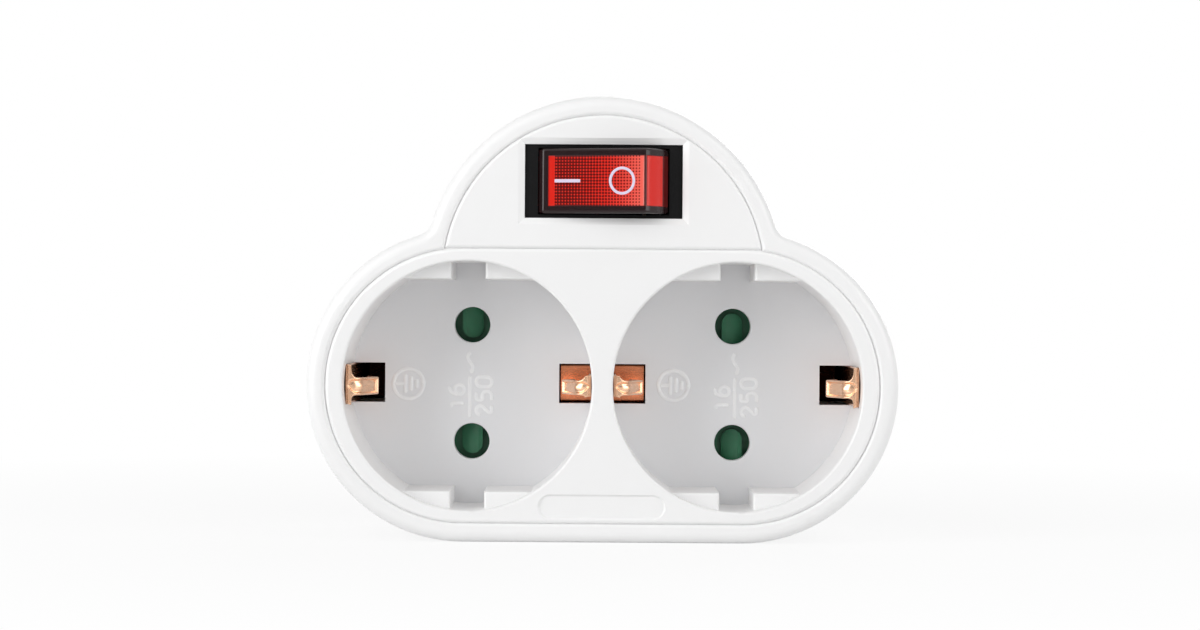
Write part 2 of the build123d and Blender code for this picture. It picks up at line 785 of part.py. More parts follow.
def pin_busbar(side, tab_x):
    """Strip behind one row of pin holes, with a pair of leaves round each pin and one solder tab."""
    strip_z = socket_z + side * (strip_inner + leaf_thickness / 2)
    leaf_reach = strip_outer - pin_x + leaf_overhang
    leaf_z = socket_z + side * (strip_outer - leaf_reach / 2)
    leaf_middle = leaf_inner + leaf_thickness / 2
    with BuildPart() as busbar:
        with BuildSketch(level(busbar_low)):
            with Locations((0, strip_z)):
                Rectangle(2 * (socket_x + leaf_outer), leaf_thickness)
            with Locations((-socket_x, leaf_z), (socket_x, leaf_z)):
                with GridLocations(2 * leaf_middle, 1, 2, 1):
                    Rectangle(leaf_thickness, leaf_reach)
        extrude(amount=busbar_width)
        with BuildSketch(level(tab_low)):
            with Locations((tab_x, strip_z)):
                Rectangle(2 * wire_radius, leaf_thickness)
        extrude(amount=busbar_low - tab_low)
    return busbar.part


save(pin_busbar(1, terminal_spacing), "line_busbar")
save(pin_busbar(-1, -terminal_spacing), "neutral_busbar")

# Centre lines of a clip's wide leg and narrow tongue, as radius from the socket and level
leg_top = front_level - clip_shoulder_drop
tongue_line = [
    (clip_middle, leg_top - clip_foot),
    (clip_middle, clip_top - clip_thickness / 2),
    (clip_middle - tongue_crown, clip_top - clip_thickness / 2),
    (tongue_bulge_radius, floor_front + tongue_bulge_height),
    (tongue_bulge_radius + tongue_tip_inset, floor_front + tongue_tip_height),
]
tongue_bends = [clip_bend, clip_bend, tongue_bend]


def clip_points(line, x, side):
    """Places in the frame of (radius, level) points of a clip on one side of the socket at x."""
    return [(x + side * radius, -distance, socket_z) for radius, distance in line]


def outer_clip(side):
    """Earth clip at the outer end of a well: foot, wide leg along the wall and sprung tongue."""
    leg_line = [
        (clip_outer - clip_foot, foot_level),
        (clip_middle, foot_level),
        (clip_middle, leg_top),
    ]
    with BuildPart() as clip:
        with BuildLine() as leg:
            FilletPolyline(*clip_points(leg_line, side * socket_x, side), radius=clip_foot_bend)
        with BuildSketch(Plane(origin=leg.line @ 0, x_dir=(0, 0, 1), z_dir=leg.line % 0)):
            Rectangle(clip_width, clip_thickness)
        sweep(path=leg.line)
        with BuildLine() as tongue:
            FilletPolyline(*clip_points(tongue_line, side * socket_x, side), radius=tongue_bends)
        with BuildSketch(Plane(origin=tongue.line @ 0, x_dir=(0, 0, 1), z_dir=tongue.line % 0)):
            Rectangle(tongue_width, clip_thickness)
        sweep(path=tongue.line)
        with BuildSketch(level(earth_high)):
            with Locations((side * rivet_x, socket_z)):
                Circle(rivet_radius + fit_clearance)
        extrude(amount=clip_thickness, mode=Mode.SUBTRACT)
    return clip.part


save(outer_clip(-1), "earth_clip_left")
save(outer_clip(1), "earth_clip_right")

# Double clip between the wells: foot, post, shelf under both windows, two legs and two tongues
shelf_half = socket_x - window_inner_radius - 2 * clip_wall_gap
with BuildPart() as earth_clip_centre:
    with BuildSketch(level(earth_high)):
        with Locations((0, socket_z)):
            Rectangle(2 * centre_post_offset + clip_thickness, clip_width)
    extrude(amount=clip_thickness)
    with BuildSketch(level(earth_high)):
        with Locations((-centre_post_offset, socket_z)):
            Rectangle(clip_thickness, clip_width)
    extrude(amount=shelf_level - earth_high)
    with BuildSketch(level(shelf_level)):
        with Locations((0, socket_z)):
            Rectangle(2 * shelf_half, clip_width)
    extrude(amount=clip_thickness)
    with BuildSketch(level(shelf_level)):
        with Locations((0, socket_z)):
            with GridLocations(2 * (socket_x - clip_middle), 1, 2, 1):
                Rectangle(clip_thickness, clip_width)
    extrude(amount=leg_top - shelf_level)
    for side in (-1, 1):
        with BuildLine() as tongue:
            FilletPolyline(*clip_points(tongue_line, side * socket_x, -side), radius=tongue_bends)
        with BuildSketch(Plane(origin=tongue.line @ 0, x_dir=(0, 0, 1), z_dir=tongue.line % 0)):
            Rectangle(tongue_width, clip_thickness)
        sweep(path=tongue.line)
    with BuildSketch(level(earth_high)):
        with Locations((0, socket_z)):
            Circle(rivet_radius + fit_clearance)
    extrude(amount=clip_thickness, mode=Mode.SUBTRACT)
save(earth_clip_centre.part, "earth_clip_centre")

rivet_points = [(-rivet_x, socket_z), (0, socket_z), (rivet_x, socket_z)]
with BuildPart() as earth_busbar:
    with BuildSketch(level(earth_low)):
        with Locations((0, socket_z)):
            Rectangle(2 * (socket_x + clip_outer), clip_width)
        with Locations(*rivet_points):
            Circle(rivet_radius + fit_clearance, mode=Mode.SUBTRACT)
    extrude(amount=earth_thickness)
save(earth_busbar.part, "earth_busbar")

# Earth rivets: the middle one also holds the plug strap
with BuildPart() as earth_rivets:
    rivet_top = earth_high + clip_thickness
    for rivet_point, rivet_low in zip(rivet_points, (earth_low, inner_level, earth_low)):
        with BuildSketch(level(rivet_low - rivet_head_thickness)):
            with Locations(rivet_point):
                Circle(rivet_head_radius)
        extrude(amount=rivet_head_thickness)
        with BuildSketch(level(rivet_low)):
            with Locations(rivet_point):
                Circle(rivet_radius)
        extrude(amount=rivet_top - rivet_low)
        with BuildSketch(level(rivet_top)):
            with Locations(rivet_point):
                Circle(rivet_head_radius)
        extrude(amount=rivet_head_thickness)
save(earth_rivets.part, "earth_rivets")


def plug_pin(x):
    """Round plug pin with a collar in the nose face, a flange behind it and a solder tail."""
    with BuildPart() as pin:
        with BuildSketch(level(0)):
            with Locations((x, 0)):
                Circle(pin_radius)
        extrude(amount=-pin_length)
        fillet(pin.edges().sort_by(Axis.Y)[-1], pin_tip_rounding)
        with BuildSketch(level(0)):
            with Locations((x, 0)):
                Circle(pin_collar_radius)
        extrude(amount=nose_face)
        with BuildSketch(level(nose_face)):
            with Locations((x, 0)):
                Circle(pin_flange_radius)
        extrude(amount=pin_flange_thickness)
        with BuildSketch(level(nose_face + pin_flange_thickness)):
            with Locations((x, 0)):
                Circle(pin_tail_radius)
        extrude(amount=pin_tail_length)
    return pin.part


save(plug_pin(-pin_x), "plug_pin_left")
save(plug_pin(pin_x), "plug_pin_right")

# Plug earth strap: a web on the back wall and two legs out along the nose
with BuildPart() as plug_earth_strap:
    with BuildSketch(level(inner_level)):
        Rectangle(strap_width, 2 * strap_face)
    extrude(amount=strap_thickness)
    with BuildSketch(level(strap_end_gap)):
        with GridLocations(1, 2 * strap_seat + strap_thickness, 1, 2):
            Rectangle(strap_width, strap_thickness)
    extrude(amount=inner_level - strap_end_gap)
    with BuildSketch(level(inner_level)):
        with Locations((0, socket_z)):
            Circle(rivet_radius + fit_clearance)
    extrude(amount=strap_thickness, mode=Mode.SUBTRACT)
save(plug_earth_strap.part, "plug_earth_strap")


def wire(points, radius, bend):
    """Insulated wire: straight runs joined by tangent arcs."""
    with BuildPart() as tube:
        with BuildLine() as route:
            FilletPolyline(*points, radius=bend)
        with BuildSketch(route.line ^ 0):
            Circle(radius)
        sweep(path=route.line)
    return tube.part


tail_y = -nose_face - pin_flange_thickness - pin_tail_length
blade_y = -blade_end
strip_y = -busbar_low - busbar_width / 2
low_y = -earth_high - wire_gap - wire_radius
lamp_y = -tab_low - wire_radius
line_in_route = [
    (pin_x, tail_y, 0),
    (pin_x, low_y, 0),
    (pin_x, low_y, switch_z - switch_rise),
    (0, low_y, switch_z),
    (0, blade_y, switch_z),
]
line_out_route = [
    (terminal_spacing, blade_y, switch_z),
    (terminal_spacing, strip_y, switch_z),
    (terminal_spacing, strip_y, socket_z + strip_outer),
]
neutral_route = [
    (-pin_x, tail_y, 0),
    (-pin_x, strip_y, 0),
    (-pin_x, strip_y, socket_z - strip_inner),
]
lamp_route = [
    (-terminal_spacing, blade_y, switch_z),
    (-terminal_spacing, lamp_y, switch_z),
    (-terminal_spacing, lamp_y, socket_z - strip_inner),
]
save(wire(line_in_route, wire_radius, wire_bend), "line_wire_in")
save(wire(line_out_route, wire_radius, wire_bend), "line_wire_out")
save(wire(neutral_route, wire_radius, wire_bend), "neutral_wire")
save(wire(lamp_route, lamp_wire_radius, wire_bend), "lamp_wire")
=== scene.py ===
"""Finishes, seam ledges, switch rocker, earth clips, floor marks and stage of a two-way socket adapter."""

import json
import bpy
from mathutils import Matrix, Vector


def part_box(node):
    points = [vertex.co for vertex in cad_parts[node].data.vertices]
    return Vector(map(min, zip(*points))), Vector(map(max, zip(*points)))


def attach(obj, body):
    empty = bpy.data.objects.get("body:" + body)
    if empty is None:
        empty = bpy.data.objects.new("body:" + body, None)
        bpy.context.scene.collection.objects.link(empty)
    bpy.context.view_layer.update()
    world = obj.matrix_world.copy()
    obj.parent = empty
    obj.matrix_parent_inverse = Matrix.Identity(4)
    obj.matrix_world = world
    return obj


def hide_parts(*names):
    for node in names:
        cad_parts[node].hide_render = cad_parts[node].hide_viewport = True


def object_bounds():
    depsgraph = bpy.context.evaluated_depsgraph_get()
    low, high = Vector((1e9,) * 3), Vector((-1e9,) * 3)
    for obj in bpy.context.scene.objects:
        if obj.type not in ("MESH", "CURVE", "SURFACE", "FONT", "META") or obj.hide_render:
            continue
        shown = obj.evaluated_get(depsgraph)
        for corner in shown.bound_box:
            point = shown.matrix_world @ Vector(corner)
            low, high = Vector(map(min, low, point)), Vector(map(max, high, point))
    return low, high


bl_info = {
    "name": "Two-way socket adapter",
    "version": (1, 0, 0),
    "blender": (4, 5, 0),
    "location": "3D View > Sidebar > Adapter",
    "description": "Dresses a switched two-way socket adapter and sets up its photograph",
    "category": "Object",
}

from math import acos, asin, cos, pi, radians, sin, sqrt

import bmesh
import bpy
import numpy as np
from mathutils import Matrix, Vector

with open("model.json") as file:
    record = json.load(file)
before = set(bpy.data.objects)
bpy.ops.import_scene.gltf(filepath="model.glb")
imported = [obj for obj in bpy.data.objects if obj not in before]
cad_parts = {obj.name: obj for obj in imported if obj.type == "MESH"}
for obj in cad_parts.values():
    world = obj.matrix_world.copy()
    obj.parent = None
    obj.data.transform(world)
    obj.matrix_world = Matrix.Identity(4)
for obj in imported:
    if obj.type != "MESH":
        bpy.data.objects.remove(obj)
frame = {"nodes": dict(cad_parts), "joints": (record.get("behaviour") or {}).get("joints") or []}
CAD_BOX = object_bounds()

MM = 0.001
JOINTS = {joint["name"]: joint for joint in frame["joints"]}
FRONT_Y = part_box("socket_front")[0].y
WELLS = [np.array(JOINTS[f"{side}_shutter_turn"]["pos_m"]) for side in ("left", "right")]
ROCKER_AXLE = np.array(JOINTS["rocker_tilt"]["pos_m"])
ROCKER_TILT = radians(JOINTS["rocker_tilt"]["range_deg"][1] / 2)
# The rocker's own axes at rest: along its face, into the switch and up
ROCKER_AXES = np.array(
    [[cos(ROCKER_TILT), -sin(ROCKER_TILT), 0], [sin(ROCKER_TILT), cos(ROCKER_TILT), 0], [0, 0, 1]]
)
ROCKER_MASKS = ("smoke", "dots", "end", "glow")
# Spacing of the points along a fine line, and points on each arc before they are spaced
FINE_STEP = 0.05 * MM
ARC_POINTS = 33
# Corners of a square, anticlockwise
SQUARE = ((-1, -1), (1, -1), (1, 1), (-1, 1))
# Width of the photograph in pixels and of the camera's sensor in millimetres
IMAGE_WIDTH = 1200
SENSOR_WIDTH = 36


def linear(hex_colour):
    """Linear red, green and blue of an sRGB hex colour."""
    srgb = np.array([int(hex_colour[i : i + 2], 16) for i in (0, 2, 4)]) / 255
    return tuple(np.where(srgb <= 0.04045, srgb / 12.92, ((srgb + 0.055) / 1.055) ** 2.4))


def length(name, description, millimetres):
    """Length property with its default in millimetres."""
    return bpy.props.FloatProperty(
        name=name, description=description, default=millimetres * MM, unit="LENGTH", precision=5
    )


def watts(name, description, power):
    """Property for the power of a light."""
    return bpy.props.FloatProperty(name=name, description=description, default=power, unit="POWER")


def colour(name, description, hex_colour):
    """Colour property with its default as an sRGB hex value."""
    rgb = linear(hex_colour)
    return bpy.props.FloatVectorProperty(
        name=name, description=description, default=rgb, subtype="COLOR", size=3, min=0, max=1
    )


class AdapterSizes(bpy.types.PropertyGroup):
    """Sizes of the pieces that are modelled here."""

    well_depth: length("Well depth", "From the front face to a well's floor", 17.5)
    rocker_reach: length("Rocker reach", "From the axle to the round ends", 11.5)
    rocker_half_face: length("Rocker half face", "From the middle of the face to a crease", 8.2)
    rocker_width: length("Rocker width", "Across the rocker", 10.2)
    rocker_skirt: length("Rocker skirt", "From the axle's line to the lower edge", 3.5)
    rocker_edge: length("Rocker edge", "Rounding along the rocker's long edges", 0.45)
    rocker_crease: length("Rocker crease", "Half length of the bend at each crease", 0.25)
    rim_width: length("Rim width", "Smoky rim along both sides of the red panel", 1.2)
    rim_start: length("Rim start", "Smoky rim before the red panel", 0.95)
    # Past the lower crease the smoky rim is painted shade on the sunk end
    rim_turn_shade: length("Rim turn", "Smoky rim past the lower crease", 1.5)
    rim_end: length("Rim end", "Smoky rim round both ends", 1.6)
    rim_step: length("Rim step", "Height of the rim over the panel", 0.06)
    crease_width: length("Crease width", "Smoky band at the raised crease", 0.55)
    dots_start: length("Dots start", "From the lower crease to the first dots", 1.95)
    dots_end: length("Dots end", "From the last dots to the raised crease", 0.7)
    dot_pitch: length("Dot pitch", "Spacing of the square grid of dots in the panel", 0.48)
    bar_place: length("Bar place", "From the middle of the rocker's face to the bar", 4.25)
    bar_length: length("Bar length", "Bar on the rocker", 4.1)
    bar_stroke: length("Bar stroke", "Line width of the bar", 0.52)
    ring_place: length("Ring place", "From the middle of the rocker's face to the ring", 4.45)
    ring_half_width: length("Ring half width", "Along the rocker, to the middle of the line", 1.87)
    ring_half_height: length("Ring half height", "Across the rocker, to the middle of the line", 1.98)
    ring_stroke: length("Ring stroke", "Line width of the ring", 0.43)
    ink_height: length("Ink height", "How far the printed marks stand out", 0.05)
    clip_width: length("Clip width", "Wide leg of an earth clip", 6.3)
    clip_thickness: length("Clip thickness", "Copper strip", 0.5)
    clip_leg_radius: length("Clip leg", "From a well's middle to a leg", 19.25)
    clip_foot_radius: length("Clip foot", "From a well's middle to the end of a foot", 14.1)
    clip_foot_level: length("Clip foot level", "From the plug face to a foot", 21.65)
    clip_foot_bend: length("Clip foot bend", "Bend from an outer clip's foot to its leg", 1.0)
    clip_shelf_level: length("Clip shelf level", "From the plug face to the shelf between the wells", 35.25)
    clip_shelf_reach: length("Clip shelf reach", "From the middle to the shelf's ends", 6.85)
    clip_bracket: length("Clip bracket", "From the middle to the bracket's wall and its foot's end", 2.6)
    clip_bracket_bend: length("Clip bracket bend", "Bend from the bracket's foot to its wall", 0.6)
    clip_crown_level: length("Clip crown level", "From the plug face to the crown", 53.75)
    clip_crown_radius: length("Clip crown", "From a well's middle to the inner side of the crown", 17.2)
    tongue_width: length("Tongue width", "Sprung tongue of an outer clip", 2.8)
    centre_tongue_width: length("Centre tongue width", "Sprung tongue of the centre clip", 2.3)
    centre_leg_width: length("Centre leg width", "Legs of the centre clip", 3.4)
    tongue_knee_radius: length("Tongue knee", "From a well's middle to the tongue's bend", 14.85)
    tongue_knee_level: length("Tongue knee level", "From the plug face to the tongue's bend", 47.0)
    tongue_tip_radius: length("Tongue tip", "From a well's middle to the tongue's end", 17.25)
    tongue_tip_level: length("Tongue tip level", "From the plug face to the tongue's end", 42.2)
    tongue_drop: length("Tongue drop", "How far a tongue sits below its leg's middle", 0.35)
    tongue_emboss: length("Tongue emboss", "Height of the boat-shaped dome on a tongue", 0.36)
    seam_gap: length("Seam gap", "Between the plates and the rim", 0.05)
    seam_depth: length("Seam depth", "From the front face to the ledge in the seams", 0.52)
    dome_drop: length("Dome drop", "From the straight seam down to the half-moon's centre", 4.25)
    left_mark_shift: length("Left mark shift", "How far the left floor's marks sit to the right", -0.1)
    right_mark_shift: length("Right mark shift", "How far the right floor's marks sit to the right", 0.65)
    mark_drop: length("Mark drop", "How far the floor marks sit below a well's middle", 0.2)
    mark_height: length("Mark height", "How far the floor marks stand out", 0.14)
    mark_stroke: length("Mark stroke", "Line width of the floor marks", 0.62)
    figure_height: length("Figure height", "Height of the floor figures", 3.15)
    sign_radius: length("Sign radius", "Ring of the earth sign", 2.45)
    divider_reach: length("Divider reach", "Half the line between the figures", 3.4)
    wave_reach: length("Wave reach", "Half the length of the wave", 1.75)
    wave_height: length("Wave height", "From the wave's middle to its top", 0.42)


class AdapterLooks(bpy.types.PropertyGroup):
    """Colours of the finishes."""

    white: colour("White plastic", "Housing and socket plates", "F2F2F2")
    # Painted shade: the well floors get a greyer, cooler white than the plates
    floor_shade_white: colour("Well floors", "Spark-eroded floors of the wells", "EEEFF1")
    black: colour("Black plastic", "Switch body", "0D0D0E")
    red: colour("Red panel", "Lit face of the rocker", "DC1F11")
    coral: colour("Coral ends", "Rounded ends of the rocker", "DC1C0C")
    glow: colour("Glow", "Face of the rocker where the lamp shines through", "F86C5E")
    smoke: colour("Smoky rim", "Thick clear edges of the rocker", "200F11")
    lilac: colour("Lilac print", "On and off marks", "DCD3E9")
    green: colour("Green shutter", "Shutters behind the pin holes", "1F6C48")
    copper: colour("Copper", "Earth clips", "F8C9A6")
    # Painted shade: copper deep in the housing is given this brown
    painted_shade: colour("Brown oxide", "Copper inside the housing", "F09A71")
    nickel: colour("Nickel", "Plug pins and strap", "CDC9C0")
    steel: colour("Zinc plated steel", "Screws and springs", "B9BABC")
    brass: colour("Brass", "Switch blades and pin strips", "C9A45A")
    brown: colour("Brown insulation", "Line wires", "5A3018")
    blue: colour("Blue insulation", "Neutral wires", "2350A0")


class AdapterStage(bpy.types.PropertyGroup):
    """Camera and light."""

    focal_pixels: bpy.props.FloatProperty(
        name="Focal length", description="In pixels of the photograph", default=2691
    )
    camera_x: length("Camera x", "Place of the lens across the object", -0.45)
    camera_y: length("Camera y", "Place of the lens in front of the plug face", -480)
    camera_z: length("Camera z", "Height of the lens", 0.82)
    camera_roll: bpy.props.FloatProperty(
        name="Camera roll", description="Turn about the view", default=radians(0.4), subtype="ANGLE"
    )
    left_power: watts("Left light", "Soft box on the left", 4.3)
    right_power: watts("Right light", "Soft box on the right", 2.35)
    left_high_power: watts("High left light", "Soft box above on the left", 1.3)
    right_high_power: watts("High right light", "Soft box above on the right", 0.9)
    back_power: watts("Back light", "Soft box behind and above", 2.5)
    sky_level: bpy.props.FloatProperty(
        name="Sky level", description="Light from all round", default=0.38
    )


def join(tree, node, links):
    """Join outputs to a node's inputs."""
    for key, output in links.items():
        tree.links.new(output, node.inputs[key])


def add_node(tree, kind, settings=None, links=None):
    """Add a node: settings go to its properties or its input sockets, links join outputs to inputs."""
    node = tree.nodes.new(kind)
    for key, value in (settings or {}).items():
        if isinstance(key, str) and hasattr(node, key):
            setattr(node, key, value)
        else:
            node.inputs[key].default_value = value
    join(tree, node, links or {})
    return node


def cleared_tree(owner):
    """Empty node tree of a material or a world."""
    owner.use_nodes = True
    owner.node_tree.nodes.clear()
    return owner.node_tree


def new_finish(name, shader_settings):
    """Node material with one Principled shader, its output and Object coordinates in metres."""
    material = bpy.data.materials.new(name)
    tree = cleared_tree(material)
    shader = add_node(tree, "ShaderNodeBsdfPrincipled", shader_settings)
    add_node(tree, "ShaderNodeOutputMaterial", links={"Surface": shader.outputs["BSDF"]})
    coordinates = add_node(tree, "ShaderNodeTexCoord")
    return material, tree, shader, coordinates.outputs["Object"]


def rgba(rgb, factor=1.0):
    """Colour socket value of a linear colour, made darker or lighter by a factor."""
    return (*(min(1.0, channel * factor) for channel in rgb), 1.0)


def tone_by_noise(tree, place, feature, rgb, dark, light, detail=2.0):
    """Colour that drifts between two factors of itself over patches of the given size in metres."""
    noise = add_node(tree, "ShaderNodeTexNoise", {"Scale": 1 / feature, "Detail": detail}, {"Vector": place})
    tones = {"data_type": "RGBA", 6: rgba(rgb, dark), 7: rgba(rgb, light)}
    return add_node(tree, "ShaderNodeMix", tones, {0: noise.outputs["Fac"]}).outputs[2]


def roughness_by_noise(tree, place, feature, low, high):
    """Roughness that drifts between two values over patches of the given size in metres."""
    noise = add_node(tree, "ShaderNodeTexNoise", {"Scale": 1 / feature, "Detail": 3.0}, {"Vector": place})
    limits = {"From Min": 0.3, "From Max": 0.7, "To Min": low, "To Max": high}
    return add_node(tree, "ShaderNodeMapRange", limits, {"Value": noise.outputs["Fac"]}).outputs["Result"]


def grain_bump(tree, place, grain, height, strength):
    """Bump of a fine grain of the given size and height in metres."""
    noise = add_node(tree, "ShaderNodeTexNoise", {"Scale": 1 / grain, "Detail": 2.0}, {"Vector": place})
    depth = {"Strength": strength, "Distance": height}
    return add_node(tree, "ShaderNodeBump", depth, {"Height": noise.outputs["Fac"]}).outputs["Normal"]


def share_along(tree, place, axis, start, end):
    """Number that grows from 0 to 1 between two places along an axis, in metres."""
    parts = add_node(tree, "ShaderNodeSeparateXYZ", links={0: place})
    limits = {"From Min": start, "From Max": end}
    return add_node(tree, "ShaderNodeMapRange", limits, {"Value": parts.outputs[axis]}).outputs["Result"]


def patchy_finish(name, settings, tone, gloss, grain=None, stretch=None):
    """Material of one colour whose tone, roughness and grain drift over its surface.

    tone, gloss and grain are what tone_by_noise, roughness_by_noise and grain_bump take after the place. The
    patches run out along the axes that stretch makes small.
    """
    material, tree, shader, place = new_finish(name, settings)
    if stretch:
        place = add_node(tree, "ShaderNodeMapping", {"Scale": stretch}, {"Vector": place}).outputs["Vector"]
    tones = tone_by_noise(tree, place, *tone)
    join(tree, shader, {"Base Color": tones, "Roughness": roughness_by_noise(tree, place, *gloss)})
    if grain:
        join(tree, shader, {"Normal": grain_bump(tree, place, *grain)})
    return material


def moulded_white_abs(looks, name, floor_y=None):
    """ABS from a satin mould: even white, soft highlights and a faint ripple under them.

    Behind floor_y, a place along the y axis, the white is painted a little greyer and cooler: painted shade
    on the well floors.
    """
    material, tree, shader, place = new_finish(name, {"IOR": 1.54})
    tone = tone_by_noise(tree, place, 22 * MM, looks.white, 0.985, 1.0)
    if floor_y is not None:
        # Painted shade: behind floor_y the white turns into the greyer, cooler floor white
        share = share_along(tree, place, "Y", floor_y - 0.2 * MM, floor_y - 0.05 * MM)
        eroded = {"data_type": "RGBA", 7: rgba(looks.floor_shade_white)}
        tone = add_node(tree, "ShaderNodeMix", eroded, {0: share, 6: tone}).outputs[2]
    gloss = roughness_by_noise(tree, place, 3 * MM, 0.30, 0.38)
    # The mould's grain is about 0.1 mm and is drawn at 0.4 mm so that it shows
    ripple = grain_bump(tree, place, 0.4 * MM, 0.006 * MM, 0.35)
    join(tree, shader, {"Base Color": tone, "Roughness": gloss, "Normal": ripple})
    return material


def polished_white_abs(looks):
    """The housing's ABS on the raised floor marks, where the mould was polished: a glossier sheen, and
    painted light, a whiter tone than the floor they are moulded with.
    """
    # Painted light: the marks' white is lifted above the floor's
    tone = (2 * MM, looks.floor_shade_white, 1.1, 1.16)
    return patchy_finish("polished_white_abs", {"IOR": 1.54}, tone, (1 * MM, 0.2, 0.28))


def textured_black_nylon(looks):
    """Glass-filled nylon from a spark-eroded mould: nearly black, dull, with a sparkle of fine grain."""
    settings = {"IOR": 1.53, "Specular IOR Level": 0.15}
    tone = (0.3 * MM, looks.black, 0.6, 1.7, 3.0)
    # The grain is about 0.1 mm and is drawn at 0.3 mm so that it shows
    grain = (0.3 * MM, 0.03 * MM, 0.6)
    return patchy_finish("textured_black_nylon", settings, tone, (0.5 * MM, 0.42, 0.62), grain)


def clear_red_polycarbonate(looks, dot_pitch):
    """Clear red polycarbonate, polished: a red panel with a grid of dots moulded under it, dark thick edges.

    The attributes smoke, dots, end and glow come from the rocker's surface, and its UV map is in millimetres.
    """
    settings = {"IOR": 1.58, "Specular IOR Level": 0.2, "Roughness": 0.14}
    settings |= {"Coat Weight": 0.2, "Coat Roughness": 0.04}
    material, tree, shader, place = new_finish("clear_red_polycarbonate", settings)
    masks = {
        name: add_node(tree, "ShaderNodeAttribute", {"attribute_name": name}).outputs["Fac"]
        for name in ROCKER_MASKS
    }
    panel_map = add_node(tree, "ShaderNodeUVMap", {"uv_map": "panel"})
    across = add_node(tree, "ShaderNodeSeparateXYZ", links={0: panel_map.outputs["UV"]})
    # Where the mask is 1 the dots grow together and leave small bright squares, and where it is 0 they vanish
    growth = add_node(tree, "ShaderNodeMapRange", {"To Min": -2.8, "To Max": 0.85}, {"Value": masks["dots"]})
    grown = growth.outputs["Result"]
    pitch = {"operation": "MULTIPLY", 1: 2 * pi * MM / dot_pitch}
    for axis in ("X", "Y"):
        turn = add_node(tree, "ShaderNodeMath", pitch, {0: across.outputs[axis]})
        wave = add_node(tree, "ShaderNodeMath", {"operation": "COSINE"}, {0: turn.outputs[0]})
        both = {0: grown, 1: wave.outputs[0]}
        grown = add_node(tree, "ShaderNodeMath", {"operation": "ADD"}, both).outputs[0]
    soft = {"interpolation_type": "SMOOTHSTEP", "From Min": -0.6, "From Max": 0.6}
    dark = add_node(tree, "ShaderNodeMapRange", soft, {"Value": grown}).outputs["Result"]
    tone = tone_by_noise(tree, place, 6 * MM, looks.red, 0.9, 1.1)
    layers = (
        (masks["glow"], rgba(looks.glow)),
        (dark, rgba(looks.red, 0.15)),
        (masks["end"], rgba(looks.coral)),
        (masks["smoke"], rgba(looks.smoke)),
    )
    for share, layer in layers:
        mix = {"data_type": "RGBA", 7: layer}
        tone = add_node(tree, "ShaderNodeMix", mix, {0: share, 6: tone}).outputs[2]
    ripple = grain_bump(tree, place, 2.5 * MM, 0.02 * MM, 0.25)
    join(tree, shader, {"Base Color": tone, "Coat Normal": ripple})
    return material


def pad_printed_ink(looks):
    """Pad-printed ink: lilac white, slightly uneven, with a soft sheen."""
    tone = (0.5 * MM, looks.lilac, 0.94, 1.03)
    return patchy_finish("pad_printed_ink", {"IOR": 1.5}, tone, (0.4 * MM, 0.35, 0.5))


def moulded_green_pbt(looks):
    """PBT for sliding parts: a plain green with cloudy flow marks and a waxy sheen."""
    tone = (1.6 * MM, looks.green, 0.85, 1.12, 3.0)
    grain = (0.3 * MM, 0.01 * MM, 0.4)
    return patchy_finish("moulded_green_pbt", {"IOR": 1.55}, tone, (0.8 * MM, 0.40, 0.55), grain)


def drawn_metal(name, rgb, streak, stretch, low, high, shade=0.75):
    """Rolled, drawn or turned metal: streaks of the given width in metres, run out along the stretched axis.

    The streaks darken the colour a little, change the roughness between low and high and bend the highlight.
    """
    tone, gloss, lines = (streak, rgb, shade, 1.08, 4.0), (streak, low, high), (streak, 0.01 * MM, 0.5)
    return patchy_finish(name, {"Metallic": 1.0}, tone, gloss, lines, stretch)


def rolled_copper(looks):
    """Rolled copper strip: its own bright colour near the front, with painted shade that turns it brown
    further in and nearly black at its foot.

    Faint streaks follow the rolling direction, and the painted shade grows with the depth behind the front.
    """
    material, tree, shader, place = new_finish("rolled_copper", {"Metallic": 1.0})
    turned = add_node(tree, "ShaderNodeMapping", {"Scale": (0.15, 0.15, 1)}, {"Vector": place})
    streaked, streak = turned.outputs["Vector"], 0.15 * MM
    tone = tone_by_noise(tree, streaked, streak, looks.copper, 0.94, 1.03, 4.0)
    # Each painted shade with the depths in millimetres between which it takes over
    for painted_shade, start, end in ((looks.painted_shade, 12, 22), (linear("160A06"), 24, 33)):
        share = share_along(tree, place, "Y", FRONT_Y + start * MM, FRONT_Y + end * MM)
        layer = tone_by_noise(tree, streaked, streak, painted_shade, 0.9, 1.06, 4.0)
        mixed = add_node(tree, "ShaderNodeMix", {"data_type": "RGBA"}, {0: share, 6: tone, 7: layer})
        tone = mixed.outputs[2]
    gloss = roughness_by_noise(tree, streaked, streak, 0.2, 0.3)
    lines = grain_bump(tree, streaked, streak, 0.003 * MM, 0.4)
    join(tree, shader, {"Base Color": tone, "Roughness": gloss, "Normal": lines})
    return material


def lamp_glass():
    """Soda glass of a neon lamp: clear and warm, with slightly wavy walls."""
    settings = {"Base Color": rgba(linear("F6D9C4")), "Transmission Weight": 0.9}
    settings |= {"Roughness": 0.05, "IOR": 1.52}
    material, tree, shader, place = new_finish("lamp_glass", settings)
    join(tree, shader, {"Normal": grain_bump(tree, place, 1.2 * MM, 0.02 * MM, 0.4)})
    return material


